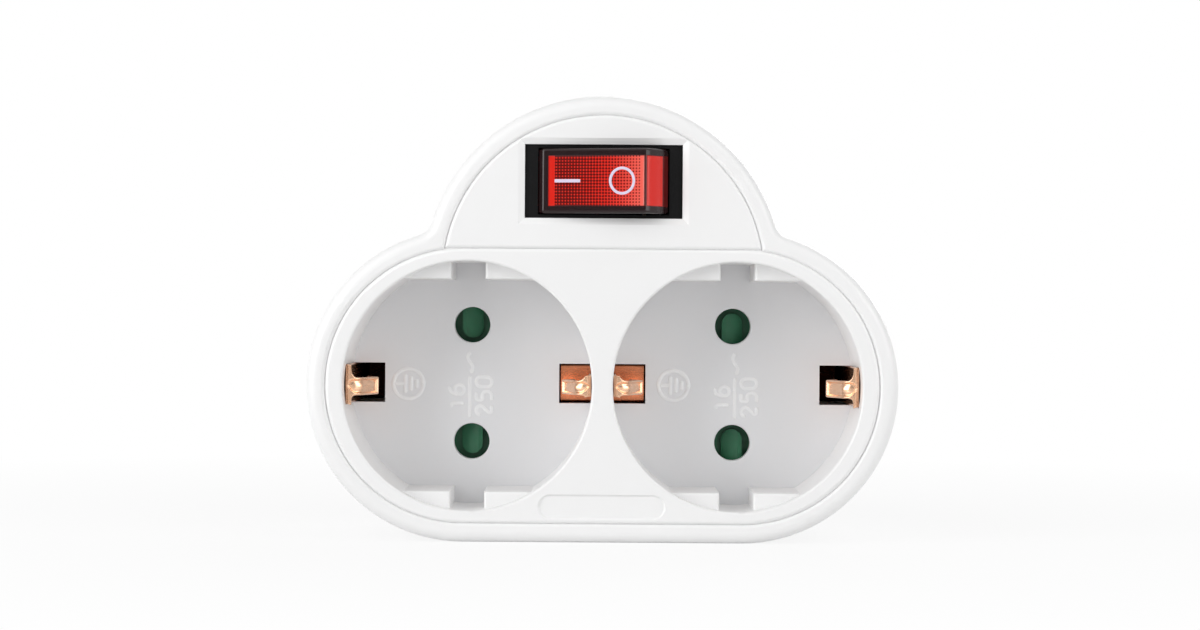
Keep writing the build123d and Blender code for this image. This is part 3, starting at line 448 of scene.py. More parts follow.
def lacquered_resistor():
    """Lacquered carbon film: a sand-coloured body with painted rings along its length."""
    material, tree, shader, place = new_finish("lacquered_resistor", {"IOR": 1.5, "Roughness": 0.35})
    low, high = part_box("lamp_resistor")
    centred = add_node(tree, "ShaderNodeMapping", {"Location": -low.lerp(high, 0.5)}, {"Vector": place})
    half_length = 3 * MM
    share = share_along(tree, centred.outputs["Vector"], "Z", -half_length, half_length)
    rings = add_node(tree, "ShaderNodeValToRGB", links={"Fac": share})
    ramp = rings.color_ramp
    ramp.interpolation = "CONSTANT"
    body, ring_width = rgba(linear("C9AE84")), 0.08
    ramp.elements[0].color = body
    for hex_colour, start in (("5A2A16", 0.22), ("C8452C", 0.40), ("D9B23A", 0.58), ("B08D57", 0.78)):
        ramp.elements.new(start).color = rgba(linear(hex_colour))
        ramp.elements.new(start + ring_width).color = body
    join(tree, shader, {"Base Color": rings.outputs["Color"]})
    return material


def extruded_pvc(name, rgb):
    """Extruded PVC insulation: a nearly even colour with a low sheen."""
    return patchy_finish(name, {"IOR": 1.53}, (1.5 * MM, rgb, 0.85, 1.1), (0.6 * MM, 0.38, 0.55))


def natural_nylon():
    """Unfilled nylon: milky, slightly clear at its edges, with a waxy sheen."""
    settings = {"IOR": 1.53, "Subsurface Weight": 0.3, "Subsurface Scale": 0.6 * MM}
    tone = (0.8 * MM, linear("E6E2D2"), 0.92, 1.0)
    return patchy_finish("natural_nylon", settings, tone, (0.5 * MM, 0.35, 0.5))


def finish_nodes(material, *names):
    """Give CAD nodes a material in all their slots."""
    for name in names:
        node = frame["nodes"][name]
        if not node.material_slots:
            node.data.materials.append(material)
        for slot in node.material_slots:
            slot.material = material


def grid_faces(rows, columns, wrap_rows=False, wrap_columns=False):
    """Quads between neighbouring points of a grid, joined round where it wraps."""
    row, column = np.meshgrid(
        np.arange(rows if wrap_rows else rows - 1),
        np.arange(columns if wrap_columns else columns - 1),
        indexing="ij",
    )
    this_row, next_row = row * columns, (row + 1) % rows * columns
    next_column = (column + 1) % columns
    corners = [this_row + column, this_row + next_column, next_row + next_column, next_row + column]
    return np.stack(corners, axis=-1).reshape(-1, 4)


def joined(shapes):
    """Points and faces of several shapes as one."""
    counts = np.cumsum([0] + [len(points) for points, _ in shapes[:-1]])
    points = np.concatenate([points for points, _ in shapes])
    faces = np.concatenate([faces + start for (_, faces), start in zip(shapes, counts)])
    return points, faces


def new_mesh(name, points, faces, material):
    """Mesh of one material from points in metres."""
    mesh = bpy.data.meshes.new(name)
    mesh.from_pydata(np.reshape(points, (-1, 3)).tolist(), [], np.array(faces).tolist())
    mesh.materials.append(material)
    return mesh


def link_object(name, data):
    """Object of a mesh, light or camera in the scene."""
    item = bpy.data.objects.new(name, data)
    bpy.context.scene.collection.objects.link(item)
    return item


def settle_piece(name, mesh, work, sharp_degrees, body):
    """Piece from a mesh and its bmesh: faces outwards, smooth up to an angle, riding on a body."""
    bmesh.ops.recalc_face_normals(work, faces=work.faces)
    work.to_mesh(mesh)
    work.free()
    mesh.shade_smooth()
    mesh.set_sharp_from_angle(angle=radians(sharp_degrees))
    piece = link_object(name, mesh)
    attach(piece, body)
    return piece


def add_piece(name, points, faces, material, body, slot):
    """Piece from points in metres, with the points at its poles merged."""
    mesh = new_mesh(name, points, faces, material)
    work = bmesh.new()
    work.from_mesh(mesh)
    merge_distance, sharp_degrees = 1e-7, 35
    bmesh.ops.remove_doubles(work, verts=work.verts, dist=merge_distance)
    return settle_piece(name, mesh, work, sharp_degrees, body)


def smooth_step(value, width):
    """0 below zero and 1 above it, with an S-shaped rise of the given width."""
    share = np.clip(value / width + 0.5, 0, 1)
    return share * share * (3 - 2 * share)


def signed_power(value, exponent):
    """Power of the size of a number, with its sign kept."""
    return np.sign(value) * np.abs(value) ** exponent


def full_turn(count):
    """Angles that are spaced evenly round a circle."""
    return np.linspace(0, 2 * pi, count, endpoint=False)


def left_normals(tangent):
    """Unit normals of a flat line, a quarter turn to the left of its tangents."""
    tangent = tangent / np.linalg.norm(tangent, axis=1)[:, None]
    return np.stack([-tangent[:, 1], tangent[:, 0]], axis=-1)


def run_along(line):
    """Distance from the start of a line to each of its points."""
    return np.concatenate([[0], np.cumsum(np.linalg.norm(np.diff(line, axis=0), axis=1))])


def placed(local, centre, axes):
    """Places in the frame of coordinates along three axes from a centre."""
    return centre + np.stack(local, axis=-1) @ np.array(axes)


def rocker_drop(sizes):
    """Distance from the axle to the rocker's face, a chord of the circle that its ends follow."""
    return sqrt(sizes.rocker_reach**2 - sizes.rocker_half_face**2)


def rocker_section(sizes, step):
    """Section of the rocker in its own axes, with the developed length from the middle of its face.

    The face is a chord of a circle about the axle, and the ends follow that circle down to the skirt.
    Each crease is a parabola through the two points one rounding away from it.
    """
    reach, half = sizes.rocker_reach, sizes.rocker_half_face
    crease = asin(half / reach)
    end = acos(sizes.rocker_skirt / reach)
    total = half + reach * (end - crease)
    run = np.linspace(-total, total, 2 * int(total / step) + 1)

    def place(run):
        angle = crease + (np.abs(run) - half) / reach
        on_face = np.abs(run) <= half
        x = np.where(on_face, run, np.sign(run) * reach * np.sin(angle))
        y = np.where(on_face, -rocker_drop(sizes), -reach * np.cos(angle))
        return np.stack([x, y], axis=-1)

    soft = sizes.rocker_crease
    share = np.clip((np.abs(run) - half + soft) / (2 * soft), 0, 1)[:, None]
    side = np.sign(run)
    bend = (
        (1 - share) ** 2 * place(side * (half - soft))
        + 2 * share * (1 - share) * place(side * half)
        + share**2 * place(side * (half + soft))
    )
    near = (np.abs(np.abs(run) - half) < soft)[:, None]
    return np.where(near, bend, place(run)), run


def rocker_surface(sizes):
    """Surface of the rocker, open at its two ends, with its developed coordinates and its masks.

    The section is carried across the width. Near each long edge it moves inwards along its own normal
    by the drop of a quarter circle, and below that it runs down to the skirt as a flat cheek.
    """
    step, edge_rows = 0.1 * MM, 8
    section, run = rocker_section(sizes, step)
    inward = left_normals(np.gradient(section, axis=0))
    half, soft = sizes.rocker_width / 2, sizes.rocker_edge
    flat = np.linspace(-half + soft, half - soft, int(2 * (half - soft) / step) + 1)
    turn = np.linspace(0, pi / 2, edge_rows + 1)[1:]
    side, fall = half - soft + soft * np.sin(turn), soft - soft * np.cos(turn)
    z = np.concatenate([-side[::-1], flat, side])
    inset = np.concatenate([fall[::-1], np.zeros_like(flat), fall])
    run_grid, z_grid = np.meshgrid(run, z, indexing="ij")
    masks = rocker_masks(sizes, run_grid, z_grid)
    depth = inset + sizes.rim_step * (1 - masks[0])
    x = section[:, None, 0] + inward[:, None, 0] * depth
    skirt = -sizes.rocker_skirt + 2 * soft
    y = np.minimum(section[:, None, 1] + inward[:, None, 1] * depth, skirt)
    beside = ((0, 0), (1, 1))
    y = np.pad(y, beside, constant_values=skirt)
    grids = [np.pad(grid, beside, mode="edge") for grid in (x, run_grid, z_grid, *masks)]
    x, run_grid, z_grid, *masks = grids
    return placed((x, y, z_grid), ROCKER_AXLE, ROCKER_AXES), (run_grid, z_grid), masks


def rocker_masks(sizes, run, z):
    """Where the rocker is smoky, dotted, a plain coral end or lit from below, from its developed coordinates.

    The rim lies along both sides, turns over the lower crease and, a little lighter, edges both ends and the
    raised crease. Past the lower crease the rim is painted shade on the end sunk in the switch body.
    The dots shrink along the face, and the lamp's glow grows towards the raised crease.
    """
    half, last = sizes.rocker_half_face, run.max()
    soft, end_smoke, crease_smoke = 0.16 * MM, 0.88, 0.92
    beside = np.abs(z) - (sizes.rocker_width / 2 - sizes.rim_width)
    # Past the lower crease the rim is painted shade on the end sunk in the switch body
    before = np.minimum(-half + sizes.rim_start - run, run + half + sizes.rim_turn_shade)
    beyond = np.abs(run) - (last - sizes.rim_end)
    crease = sizes.crease_width / 2 - np.abs(run - half)
    smoke = np.maximum.reduce(
        [
            smooth_step(np.maximum(beside, before), soft),
            end_smoke * smooth_step(beyond, soft),
            crease_smoke * smooth_step(crease, soft),
        ]
    )
    share = (run + half) / (2 * half)
    first_dots, dots_fall, glow_start = 1.2, 0.75, 0.55
    dots = np.clip(first_dots - dots_fall * share, 0, 1)
    dots *= smooth_step(run + half - sizes.dots_start, soft)
    dots *= smooth_step(half - sizes.dots_end - run, soft)
    glow = np.clip((share - glow_start) / (1 - glow_start), 0, 1) ** 2
    end = smooth_step(np.abs(run) - half, soft)
    return smoke, dots, end, glow


def rounded_bar(centre, size, axes, power=0.15, count=24):
    """Bar with soft edges: a superellipsoid of the given size, near a box for a small power."""
    tilt, turn = np.meshgrid(np.linspace(-pi / 2, pi / 2, count), full_turn(2 * count), indexing="ij")
    ring = signed_power(np.cos(tilt), power)
    local = [
        size[0] / 2 * ring * signed_power(np.cos(turn), power),
        size[1] / 2 * ring * signed_power(np.sin(turn), power),
        size[2] / 2 * signed_power(np.sin(tilt), power),
    ]
    return placed(local, centre, axes).reshape(-1, 3), grid_faces(count, 2 * count, wrap_columns=True)


def flat_ring(centre, radii, stroke, height, axes, count=96, sides=16):
    """Ring on a surface: an ellipse of half width and half height carried round an oval line."""
    around, section = np.meshgrid(full_turn(count), full_turn(sides), indexing="ij")
    swing = stroke / 2 * np.cos(section)
    local = [
        (radii[0] + swing) * np.cos(around),
        (radii[1] + swing) * np.sin(around),
        height * np.sin(section),
    ]
    return placed(local, centre, axes).reshape(-1, 3), grid_faces(count, sides, True, True)


def bent_line(corners, radii, step=FINE_STEP):
    """Points of a line of straight runs whose corners are arcs of the given radii."""
    corners = np.array(corners, float)
    pieces = [corners[:1]]
    for before, corner, after, radius in zip(corners, corners[1:], corners[2:], radii):
        inwards = (before - corner) / np.linalg.norm(before - corner)
        outwards = (after - corner) / np.linalg.norm(after - corner)
        half_angle = acos(np.clip(inwards @ outwards, -1, 1)) / 2
        middle = inwards + outwards
        centre = corner + middle / np.linalg.norm(middle) * radius / sin(half_angle)
        start = corner + inwards * radius / np.tan(half_angle) - centre
        finish = corner + outwards * radius / np.tan(half_angle) - centre
        swing = pi - 2 * half_angle
        share = np.linspace(0, 1, ARC_POINTS)[:, None]
        arc = (np.sin((1 - share) * swing) * start + np.sin(share * swing) * finish) / sin(swing)
        pieces.append(centre + arc)
    pieces.append(corners[-1:])
    line = np.concatenate(pieces)
    run = run_along(line)
    even = np.linspace(0, run[-1], int(run[-1] / step) + 1)
    return np.stack([np.interp(even, run, line[:, k]) for k in (0, 1)], axis=-1), even


def metal_strip(line, half_width, drop, thickness, rise, to_frame, columns_across=65):
    """Closed strip carried along a line in the plane of radius and level.

    Across the strip the two faces are flat, raised together by rise, and meet in a half round edge. Its
    middle line lies lower by drop, given for each point of the line.
    """
    normal = left_normals(np.gradient(line, axis=0))
    across = half_width[:, None] * np.sin(np.linspace(-pi / 2, pi / 2, columns_across))
    edge = thickness / 2
    past = np.clip((np.abs(across) - half_width[:, None] + edge) / edge, 0, 1)
    lift = edge * np.sqrt(1 - past**2)
    up = rise(across)
    front = line[:, None, :] + normal[:, None, :] * (up + lift)[..., None]
    back = line[:, None, :] + normal[:, None, :] * (up - lift)[..., None]
    loop = np.concatenate([front, back[:, -2:0:-1]], axis=1)
    width = np.concatenate([across, across[:, -2:0:-1]], axis=1) - drop[:, None]
    points = to_frame(loop[..., 0], loop[..., 1], width)
    rows, columns = loop.shape[:2]
    faces = grid_faces(rows, columns, wrap_columns=True)
    top = np.arange(columns_across - 1)
    under = (columns - top) % columns
    cap = np.stack([top, top + 1, (columns - top - 1) % columns, under], axis=-1)
    return points.reshape(-1, 3), np.concatenate([faces, cap, cap + (rows - 1) * columns])


def clip_frame(x, side):
    """Function from radius, level and width to places in the frame, for a clip on one side of a well."""
    centre = WELLS[0][2]
    return lambda radius, level, width: np.stack([x + side * radius, -level, centre + width], axis=-1)


def tongue_dome(along, across, half_width):
    """Height of the dome on a tongue as a share of its emboss, at places along it from its nose and across.

    The dome is boat-shaped: its half width grows from the nose as a sine does. Its wall is an S-shaped step,
    a bead runs round it just inside that, and two bell-shaped dimples lie on its middle line.
    """
    nose_length, nose_power, dome_length, fullness = 1.5 * MM, 0.9, 8.4 * MM, 0.84
    nose = np.clip(along / nose_length, 0, 1)
    half_boat = fullness * half_width * np.sin(pi / 2 * nose) ** nose_power
    inside = np.minimum(half_boat - np.abs(across), dome_length - along)
    wall_place, wall_width, wall_share = 0.15 * MM, 0.4 * MM, 0.74
    height = wall_share * smooth_step(inside - wall_place, wall_width)
    bead_place, bead_width, bead_start = 0.36 * MM, 0.2 * MM, 0.5 * MM
    bead = np.exp(-(((inside - bead_place) / bead_width) ** 2)) * np.clip(along / bead_start, 0, 1)
    height += (1 - wall_share) * bead
    # Each dimple's place along the dome, half width and half length in millimetres, and its share
    for place, wide, long, share in ((2.7, 0.4, 0.8, 0.32), (6.2, 0.45, 0.8, 0.24)):
        height -= share * np.exp(-((across / MM / wide) ** 2 + ((along / MM - place) / long) ** 2))
    return height


def clip_tongue(sizes, start, start_radii, widths, to_frame):
    """Strip of a clip whose leg runs up a wall, over a crown and down as a sprung tongue with a dome.

    The strip keeps the leg's width as far as a shoulder just past the top of the crown, then narrows along a
    quarter ellipse to the tongue, which narrows once more at its tip.
    """
    corners = start + [
        (sizes.clip_leg_radius, sizes.clip_crown_level),
        (sizes.clip_crown_radius, sizes.clip_crown_level),
        (sizes.tongue_knee_radius, sizes.tongue_knee_level),
        (sizes.tongue_tip_radius, sizes.tongue_tip_level),
    ]
    leg_bend, crown_bend, knee_bend = 0.5 * MM, 2.0 * MM, 1.5 * MM
    line, run = bent_line(corners, start_radii + [leg_bend, crown_bend, knee_bend])
    peak = run[np.argmax(line[:, 1])]
    # The rows are eight times closer on the crown and the tongue than on the leg
    spacing, crown_start = 8, peak - 1.0 * MM
    kept = (np.arange(len(run)) % spacing == 0) | (run > crown_start)
    line, run = line[kept], run[kept]
    wide, narrow = widths[0] / 2, widths[1] / 2
    widest_flare, shoulder_length, shoulder_place = 0.9 * MM, 1.8 * MM, 0.25 * MM
    flare = min(widest_flare, wide - narrow)
    flare_run = shoulder_length - flare
    past = run - peak - shoulder_place
    share = np.clip(past / flare_run, 0, 1)
    fillet = narrow + flare * (1 - np.sqrt(1 - (1 - share) ** 2))
    tip_length, tip_inset = 0.8 * MM, 0.35 * MM
    tip = tip_inset * smooth_step(run - run[-1] + tip_length, tip_length)
    half_width = np.where(past < 0, wide, fillet) - tip
    drop = sizes.tongue_drop * smooth_step(past, 2 * flare_run)
    nose_place = 0.55 * MM
    along = (run - peak + nose_place)[:, None]

    def rise(across):
        return sizes.tongue_emboss * tongue_dome(along, across, narrow)

    return metal_strip(line, half_width, drop, sizes.clip_thickness, rise, to_frame)


def flat_strip(sizes, corners, radii, to_frame):
    """Plain strip of the clip's full width along a bent line."""
    step, columns = 0.3 * MM, 25
    line, run = bent_line(corners, radii, step)
    half_width = np.full(len(run), sizes.clip_width / 2)
    no_drop = np.zeros(len(run))
    return metal_strip(line, half_width, no_drop, sizes.clip_thickness, np.zeros_like, to_frame, columns)


def raised_stroke(line, stroke, height, to_frame, sides=12):
    """Raised line on a surface: an oval section carried along a flat line.

    Over the last half stroke at each end the section shrinks as a quarter circle does, so the ends are round.
    A line that comes back to its first point is closed and keeps its full section.
    """
    closed = np.allclose(line[0], line[-1])
    if closed:
        line = line[:-1]
        tangent = np.roll(line, -1, axis=0) - np.roll(line, 1, axis=0)
        taper = np.ones((len(line), 1))
    else:
        tangent = np.gradient(line, axis=0)
        run = run_along(line)
        to_end = np.minimum(run, run[-1] - run) / (stroke / 2)
        taper = np.sqrt(1 - np.clip(1 - to_end, 0, 1) ** 2)[:, None]
    section = full_turn(sides)
    side = stroke / 2 * taper * np.cos(section)
    flat = line[:, None, :] + left_normals(tangent)[:, None, :] * side[..., None]
    points = to_frame(flat[..., 0], flat[..., 1], height * taper * np.sin(section))
    return points.reshape(-1, 3), grid_faces(len(line), sides, closed, True)


# Figures as bent lines in a box one unit high: corners, corner radii and width
FIGURES = {
    "0": ([(0.31, 0), (0.62, 0), (0.62, 1), (0, 1), (0, 0), (0.31, 0)], [0.3, 0.3, 0.3, 0.3], 0.62),
    "1": ([(0, 0.74), (0.26, 1), (0.26, 0)], [0.13], 0.26),
    "2": ([(0.02, 0.7), (0.02, 1), (0.6, 1), (0.6, 0.62), (0, 0), (0.64, 0)], [0.28, 0.28, 0.25, 0.13], 0.64),
    "5": (
        [(0.57, 1), (0.07, 1), (0.03, 0.6), (0.62, 0.6), (0.62, 0), (0, 0)],
        [0.13, 0.13, 0.28, 0.28],
        0.62,
    ),
    "6": (
        [(0.55, 0.97), (0.02, 0.97), (0.02, 0), (0.62, 0), (0.62, 0.6), (0.02, 0.6), (0.02, 0.3)],
        [0.5, 0.29, 0.29, 0.29, 0.29],
        0.62,
    ),
}
# Gaps between the edges of the figures in each row, in millimetres
FIGURE_GAPS = {"16": 0.8, "250": 0.12}
# Stem and bars of the earth sign in millimetres, each from one end to the other
SIGN_LINES = (
    ((0, 2.3), (0, 0.5)),
    ((-1.6, 0.5), (1.6, 0.5)),
    ((-1.25, -0.42), (1.25, -0.42)),
    ((-0.8, -1.35), (0.8, -1.35)),
)
# Places of the floor marks to the right of a well's middle and above it, in millimetres
MARK_PLACES = {
    "sign": (-10.3, 0),
    "divider": (-0.3, -2.05),
    "wave": (-0.2, 3.55),
    "16": (-2.45, -1.95),
    "250": (2.05, -1.95),
}


def floor_frame(centre, mark):
    """Function from places along a line that reads upwards, beside it and above the floor to the frame."""
    x, z = centre[0] + MARK_PLACES[mark][0] * MM, centre[2] + MARK_PLACES[mark][1] * MM
    return lambda along, beside, above: np.stack([x - beside, centre[1] - above, z + along], axis=-1)


def raised_figures(row, sizes, to_frame):
    """Raised strokes of the figures in a row, centred."""
    stroke, gap = sizes.mark_stroke, FIGURE_GAPS[row] * MM
    scale = sizes.figure_height - stroke
    widths = [FIGURES[figure][2] * scale + stroke for figure in row]
    start = -(sum(widths) + gap * (len(row) - 1)) / 2
    strokes = []
    for figure, width in zip(row, widths):
        corners, radii, _ = FIGURES[figure]
        line, _ = bent_line(np.array(corners) * scale, np.array(radii) * scale)
        line = line + (start + stroke / 2, -scale / 2)
        strokes.append(raised_stroke(line, stroke, sizes.mark_height, to_frame))
        start += width + gap
    return strokes


def seam_ledges(sizes):
    """Ledges at the bottom of the seams: an oval section carried round the plates' outlines.

    The socket plate's outline is a rectangle with half round ends, and the half-moon's is an arc.
    """
    low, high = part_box("socket_front")
    middle, half_gap = (low.z + high.z) / 2, sizes.seam_gap / 2
    radius, reach = (high.z - low.z) / 2 + half_gap, high.x + half_gap
    corners = [(0, -radius), *((reach * x, radius * z) for x, z in SQUARE[1:] + SQUARE[:1]), (0, -radius)]
    step, dome_points = 0.2 * MM, 300
    socket_line, _ = bent_line(corners, [radius] * 4, step)
    drop = sizes.dome_drop
    dome_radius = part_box("switch_plate")[1].z - high.z + drop + half_gap
    turn = np.linspace(-1, 1, dome_points) * acos(drop / dome_radius)
    dome_line = np.stack([np.sin(turn), np.cos(turn)], axis=-1) * dome_radius + (0, radius - drop)
    width, half_height = 0.6 * MM, 0.25 * MM
    level = FRONT_Y + sizes.seam_depth + half_height

    def to_frame(along, up, above):
        return np.stack([along, level - above, middle + up], axis=-1)

    return [raised_stroke(line, width, half_height, to_frame) for line in (socket_line, dome_line)]


class ADAPTER_OT_housing(bpy.types.Operator):
    """White moulded shell, socket plate and half-moon plate, with the ledges in their seams"""

    bl_idname = "adapter.housing"
    bl_label = "Finish the housing"

    def execute(self, context):
        sizes, looks = context.scene.adapter_sizes, context.scene.adapter_looks
        white = moulded_white_abs(looks, "moulded_white_abs")
        finish_nodes(white, "rear_shell", "switch_plate")
        add_piece("seam_ledges", *joined(seam_ledges(sizes)), white, "housing", "white_plastic")
        floor_y = FRONT_Y + sizes.well_depth
        finish_nodes(moulded_white_abs(looks, "socket_white_abs", floor_y), "socket_front")
        return {"FINISHED"}


class ADAPTER_OT_switch(bpy.types.Operator):
    """Black switch body, the red rocker that tips in it and its printed marks"""

    bl_idname = "adapter.switch"
    bl_label = "Make the switch"

    def execute(self, context):
        sizes, looks = context.scene.adapter_sizes, context.scene.adapter_looks
        finish_nodes(textured_black_nylon(looks), "switch_housing")
        points, maps, masks = rocker_surface(sizes)
        faces = grid_faces(*points.shape[:2], wrap_columns=True)
        mesh = new_mesh("rocker", points, faces, clear_red_polycarbonate(looks, sizes.dot_pitch))
        for name, mask in zip(ROCKER_MASKS, masks):
            attribute = mesh.attributes.new(name, "FLOAT", "POINT")
            attribute.data.foreach_set("value", mask.ravel().astype(np.float32))
        corner = np.zeros(len(mesh.loops), int)
        mesh.loops.foreach_get("vertex_index", corner)
        developed = np.stack([grid.ravel()[corner] / MM for grid in maps], axis=-1)
        mesh.uv_layers.new(name="panel").data.foreach_set("uv", developed.ravel())
        work = bmesh.new()
        work.from_mesh(mesh)
        ends = [edge for edge in work.edges if edge.is_boundary]
        bmesh.ops.holes_fill(work, edges=ends)
        sharp_degrees = 40
        rocker = settle_piece("rocker", mesh, work, sharp_degrees, "rocker")
        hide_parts("switch_rocker")
        self.print_marks(sizes, looks)
        return {"FINISHED"}

    def print_marks(self, sizes, looks):
        """On bar and off ring, printed on the sunk panel."""
        drop = rocker_drop(sizes) - sizes.rim_step
        along, inward, up = ROCKER_AXES
        axes = (along, up, -inward)
        bar_at = placed((-sizes.bar_place, -drop, 0), ROCKER_AXLE, ROCKER_AXES)
        ring_at = placed((sizes.ring_place, -drop, 0), ROCKER_AXLE, ROCKER_AXES)
        bar = rounded_bar(bar_at, (sizes.bar_length, sizes.bar_stroke, 2 * sizes.ink_height), axes)
        radii = (sizes.ring_half_width, sizes.ring_half_height)
        ring = flat_ring(ring_at, radii, sizes.ring_stroke, sizes.ink_height, axes)
        ink = pad_printed_ink(looks)
        add_piece("on_mark", *bar, ink, "rocker", "rocker_red")
        add_piece("off_mark", *ring, ink, "rocker", "rocker_red")


class ADAPTER_OT_shutters(bpy.types.Operator):
    """Green shutters behind the pin holes"""

    bl_idname = "adapter.shutters"
    bl_label = "Finish the shutters"

    def execute(self, context):
        green = moulded_green_pbt(context.scene.adapter_looks)
        finish_nodes(green, "left_shutter", "right_shutter")
        return {"FINISHED"}


class ADAPTER_OT_clips(bpy.types.Operator):
    """Copper earth clips: wide legs, tongues with boat-shaped domes, and the shelf between the wells"""

    bl_idname = "adapter.clips"
    bl_label = "Make the earth clips"

    def execute(self, context):
        sizes = context.scene.adapter_sizes
        copper = rolled_copper(context.scene.adapter_looks)
        leg, foot, shelf = sizes.clip_leg_radius, sizes.clip_foot_level, sizes.clip_shelf_level
        for name, well, side in (("left", WELLS[0], -1), ("right", WELLS[1], 1)):
            start = [(sizes.clip_foot_radius, foot), (leg, foot)]
            widths = (sizes.clip_width, sizes.tongue_width)
            strip = clip_tongue(sizes, start, [sizes.clip_foot_bend], widths, clip_frame(well[0], side))
            piece = add_piece(f"clip_{name}", *strip, copper, "housing", "clip_copper")
            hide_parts(f"earth_clip_{name}")
        shapes = []
        for well, side in ((WELLS[0], 1), (WELLS[1], -1)):
            widths = (sizes.centre_leg_width, sizes.centre_tongue_width)
            shapes.append(clip_tongue(sizes, [(leg, shelf)], [], widths, clip_frame(well[0], side)))
        middle = clip_frame(0.0, 1)
        # The shelf reaches into both wells, and its bracket is bent down to the foot
        reach, bracket = sizes.clip_shelf_reach, sizes.clip_bracket
        shapes.append(flat_strip(sizes, [(-reach, shelf), (reach, shelf)], [], middle))
        corners = [(bracket, foot), (-bracket, foot), (-bracket, shelf - sizes.clip_thickness / 2)]
        shapes.append(flat_strip(sizes, corners, [sizes.clip_bracket_bend], middle))
        piece = add_piece("clip_centre", *joined(shapes), copper, "housing", "clip_copper")
        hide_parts("earth_clip_centre")
        return {"FINISHED"}


class ADAPTER_OT_floor_marks(bpy.types.Operator):
    """Raised marks on the well floors: earth sign, wave, and current over voltage in figures"""

    bl_idname = "adapter.floor_marks"
    bl_label = "Make the floor marks"

    def execute(self, context):
        sizes = context.scene.adapter_sizes
        white = polished_white_abs(context.scene.adapter_looks)
        wave_points = 80
        turn = np.linspace(-pi, pi, wave_points)
        wave = np.stack([turn / pi * sizes.wave_reach, np.sin(turn) * sizes.wave_height], axis=-1)
        divider, _ = bent_line([(-sizes.divider_reach, 0), (sizes.divider_reach, 0)], [])
        lines = [("sign", bent_line(np.array(ends) * MM, [])[0]) for ends in SIGN_LINES]
        lines += [("divider", divider), ("wave", wave)]
        radii = (sizes.sign_radius, sizes.sign_radius)
        axes = ((1, 0, 0), (0, 0, 1), (0, -1, 0))
        high, stroke = sizes.mark_height, sizes.mark_stroke
        shifts = (sizes.left_mark_shift, sizes.right_mark_shift)
        for name, well, shift in zip(("left", "right"), WELLS, shifts):
            floor = (well[0] + shift, FRONT_Y + sizes.well_depth, well[2] - sizes.mark_drop)
            centre = floor_frame(floor, "sign")(0, 0, 0)
            shapes = [flat_ring(centre, radii, stroke, high, axes)]
            shapes += [raised_stroke(line, stroke, high, floor_frame(floor, mark)) for mark, line in lines]
            for row in FIGURE_GAPS:
                shapes += raised_figures(row, sizes, floor_frame(floor, row))
            add_piece(f"floor_marks_{name}", *joined(shapes), white, "housing", "white_plastic")
        return {"FINISHED"}


class ADAPTER_OT_plug(bpy.types.Operator):
    """Nickel plated plug pins and earth strap, and the screws that hold the housing"""

    bl_idname = "adapter.plug"
    bl_label = "Finish the plug"

    def execute(self, context):
        looks = context.scene.adapter_looks
        turned = drawn_metal("turned_nickel", looks.nickel, 0.3 * MM, (0.05, 1, 0.05), 0.16, 0.28, 0.88)
        rolled = drawn_metal("rolled_nickel", looks.nickel, 0.25 * MM, (1, 0.05, 0.05), 0.2, 0.34, 0.85)
        zinc = drawn_metal("zinc_plated_steel", looks.steel, 0.4 * MM, (1, 0.3, 1), 0.3, 0.45, 0.8)
        finish_nodes(turned, "plug_pin_left", "plug_pin_right")
        finish_nodes(rolled, "plug_earth_strap")
        finish_nodes(zinc, "housing_screws", "left_shutter_screw", "right_shutter_screw")
        return {"FINISHED"}


class ADAPTER_OT_inside(bpy.types.Operator):
    """Springs, switch contacts, busbars, lamp and wires inside the housing"""

    bl_idname = "adapter.inside"
    bl_label = "Finish the inside"

    def execute(self, context):
        looks = context.scene.adapter_looks
        spring = drawn_metal("spring_wire", looks.steel, 0.2 * MM, (0.2, 1, 0.2), 0.25, 0.4)
        brass = drawn_metal("stamped_brass", looks.brass, 0.3 * MM, (0.1, 1, 1), 0.25, 0.42)
        contact = drawn_metal("contact_copper", looks.copper, 0.25 * MM, (0.1, 1, 1), 0.25, 0.4, 0.6)
        # Painted shade: the earth busbar and rivets get a nearly black copper, for the dark inside seen
        # through the earth windows
        brown = drawn_metal("oxidised_copper", linear("2A150D"), 0.3 * MM, (0.1, 1, 1), 0.4, 0.55, 0.6)
        finish_nodes(spring, "plunger_spring", "left_shutter_spring", "right_shutter_spring")
        blades = ("terminal_line_in", "terminal_line_out", "terminal_neutral")
        finish_nodes(brass, *blades, "line_busbar", "neutral_busbar")
        finish_nodes(contact, "switch_lever")
        finish_nodes(brown, "earth_busbar", "earth_rivets")
        finish_nodes(natural_nylon(), "switch_plunger")
        finish_nodes(lamp_glass(), "neon_lamp")
        finish_nodes(lacquered_resistor(), "lamp_resistor")
        finish_nodes(extruded_pvc("brown_pvc", looks.brown), "line_wire_in", "line_wire_out")
        finish_nodes(extruded_pvc("blue_pvc", looks.blue), "neutral_wire", "lamp_wire")
        return {"FINISHED"}


def seen_directly(tree):
    """1 for camera, glossy and transmission rays, and 0 for the rest."""
    rays = add_node(tree, "ShaderNodeLightPath")
    seen = rays.outputs["Is Camera Ray"]
    for kind in ("Is Glossy Ray", "Is Transmission Ray"):
        either = {0: seen, 1: rays.outputs[kind]}
        seen = add_node(tree, "ShaderNodeMath", {"operation": "MAXIMUM"}, either).outputs[0]
    return seen


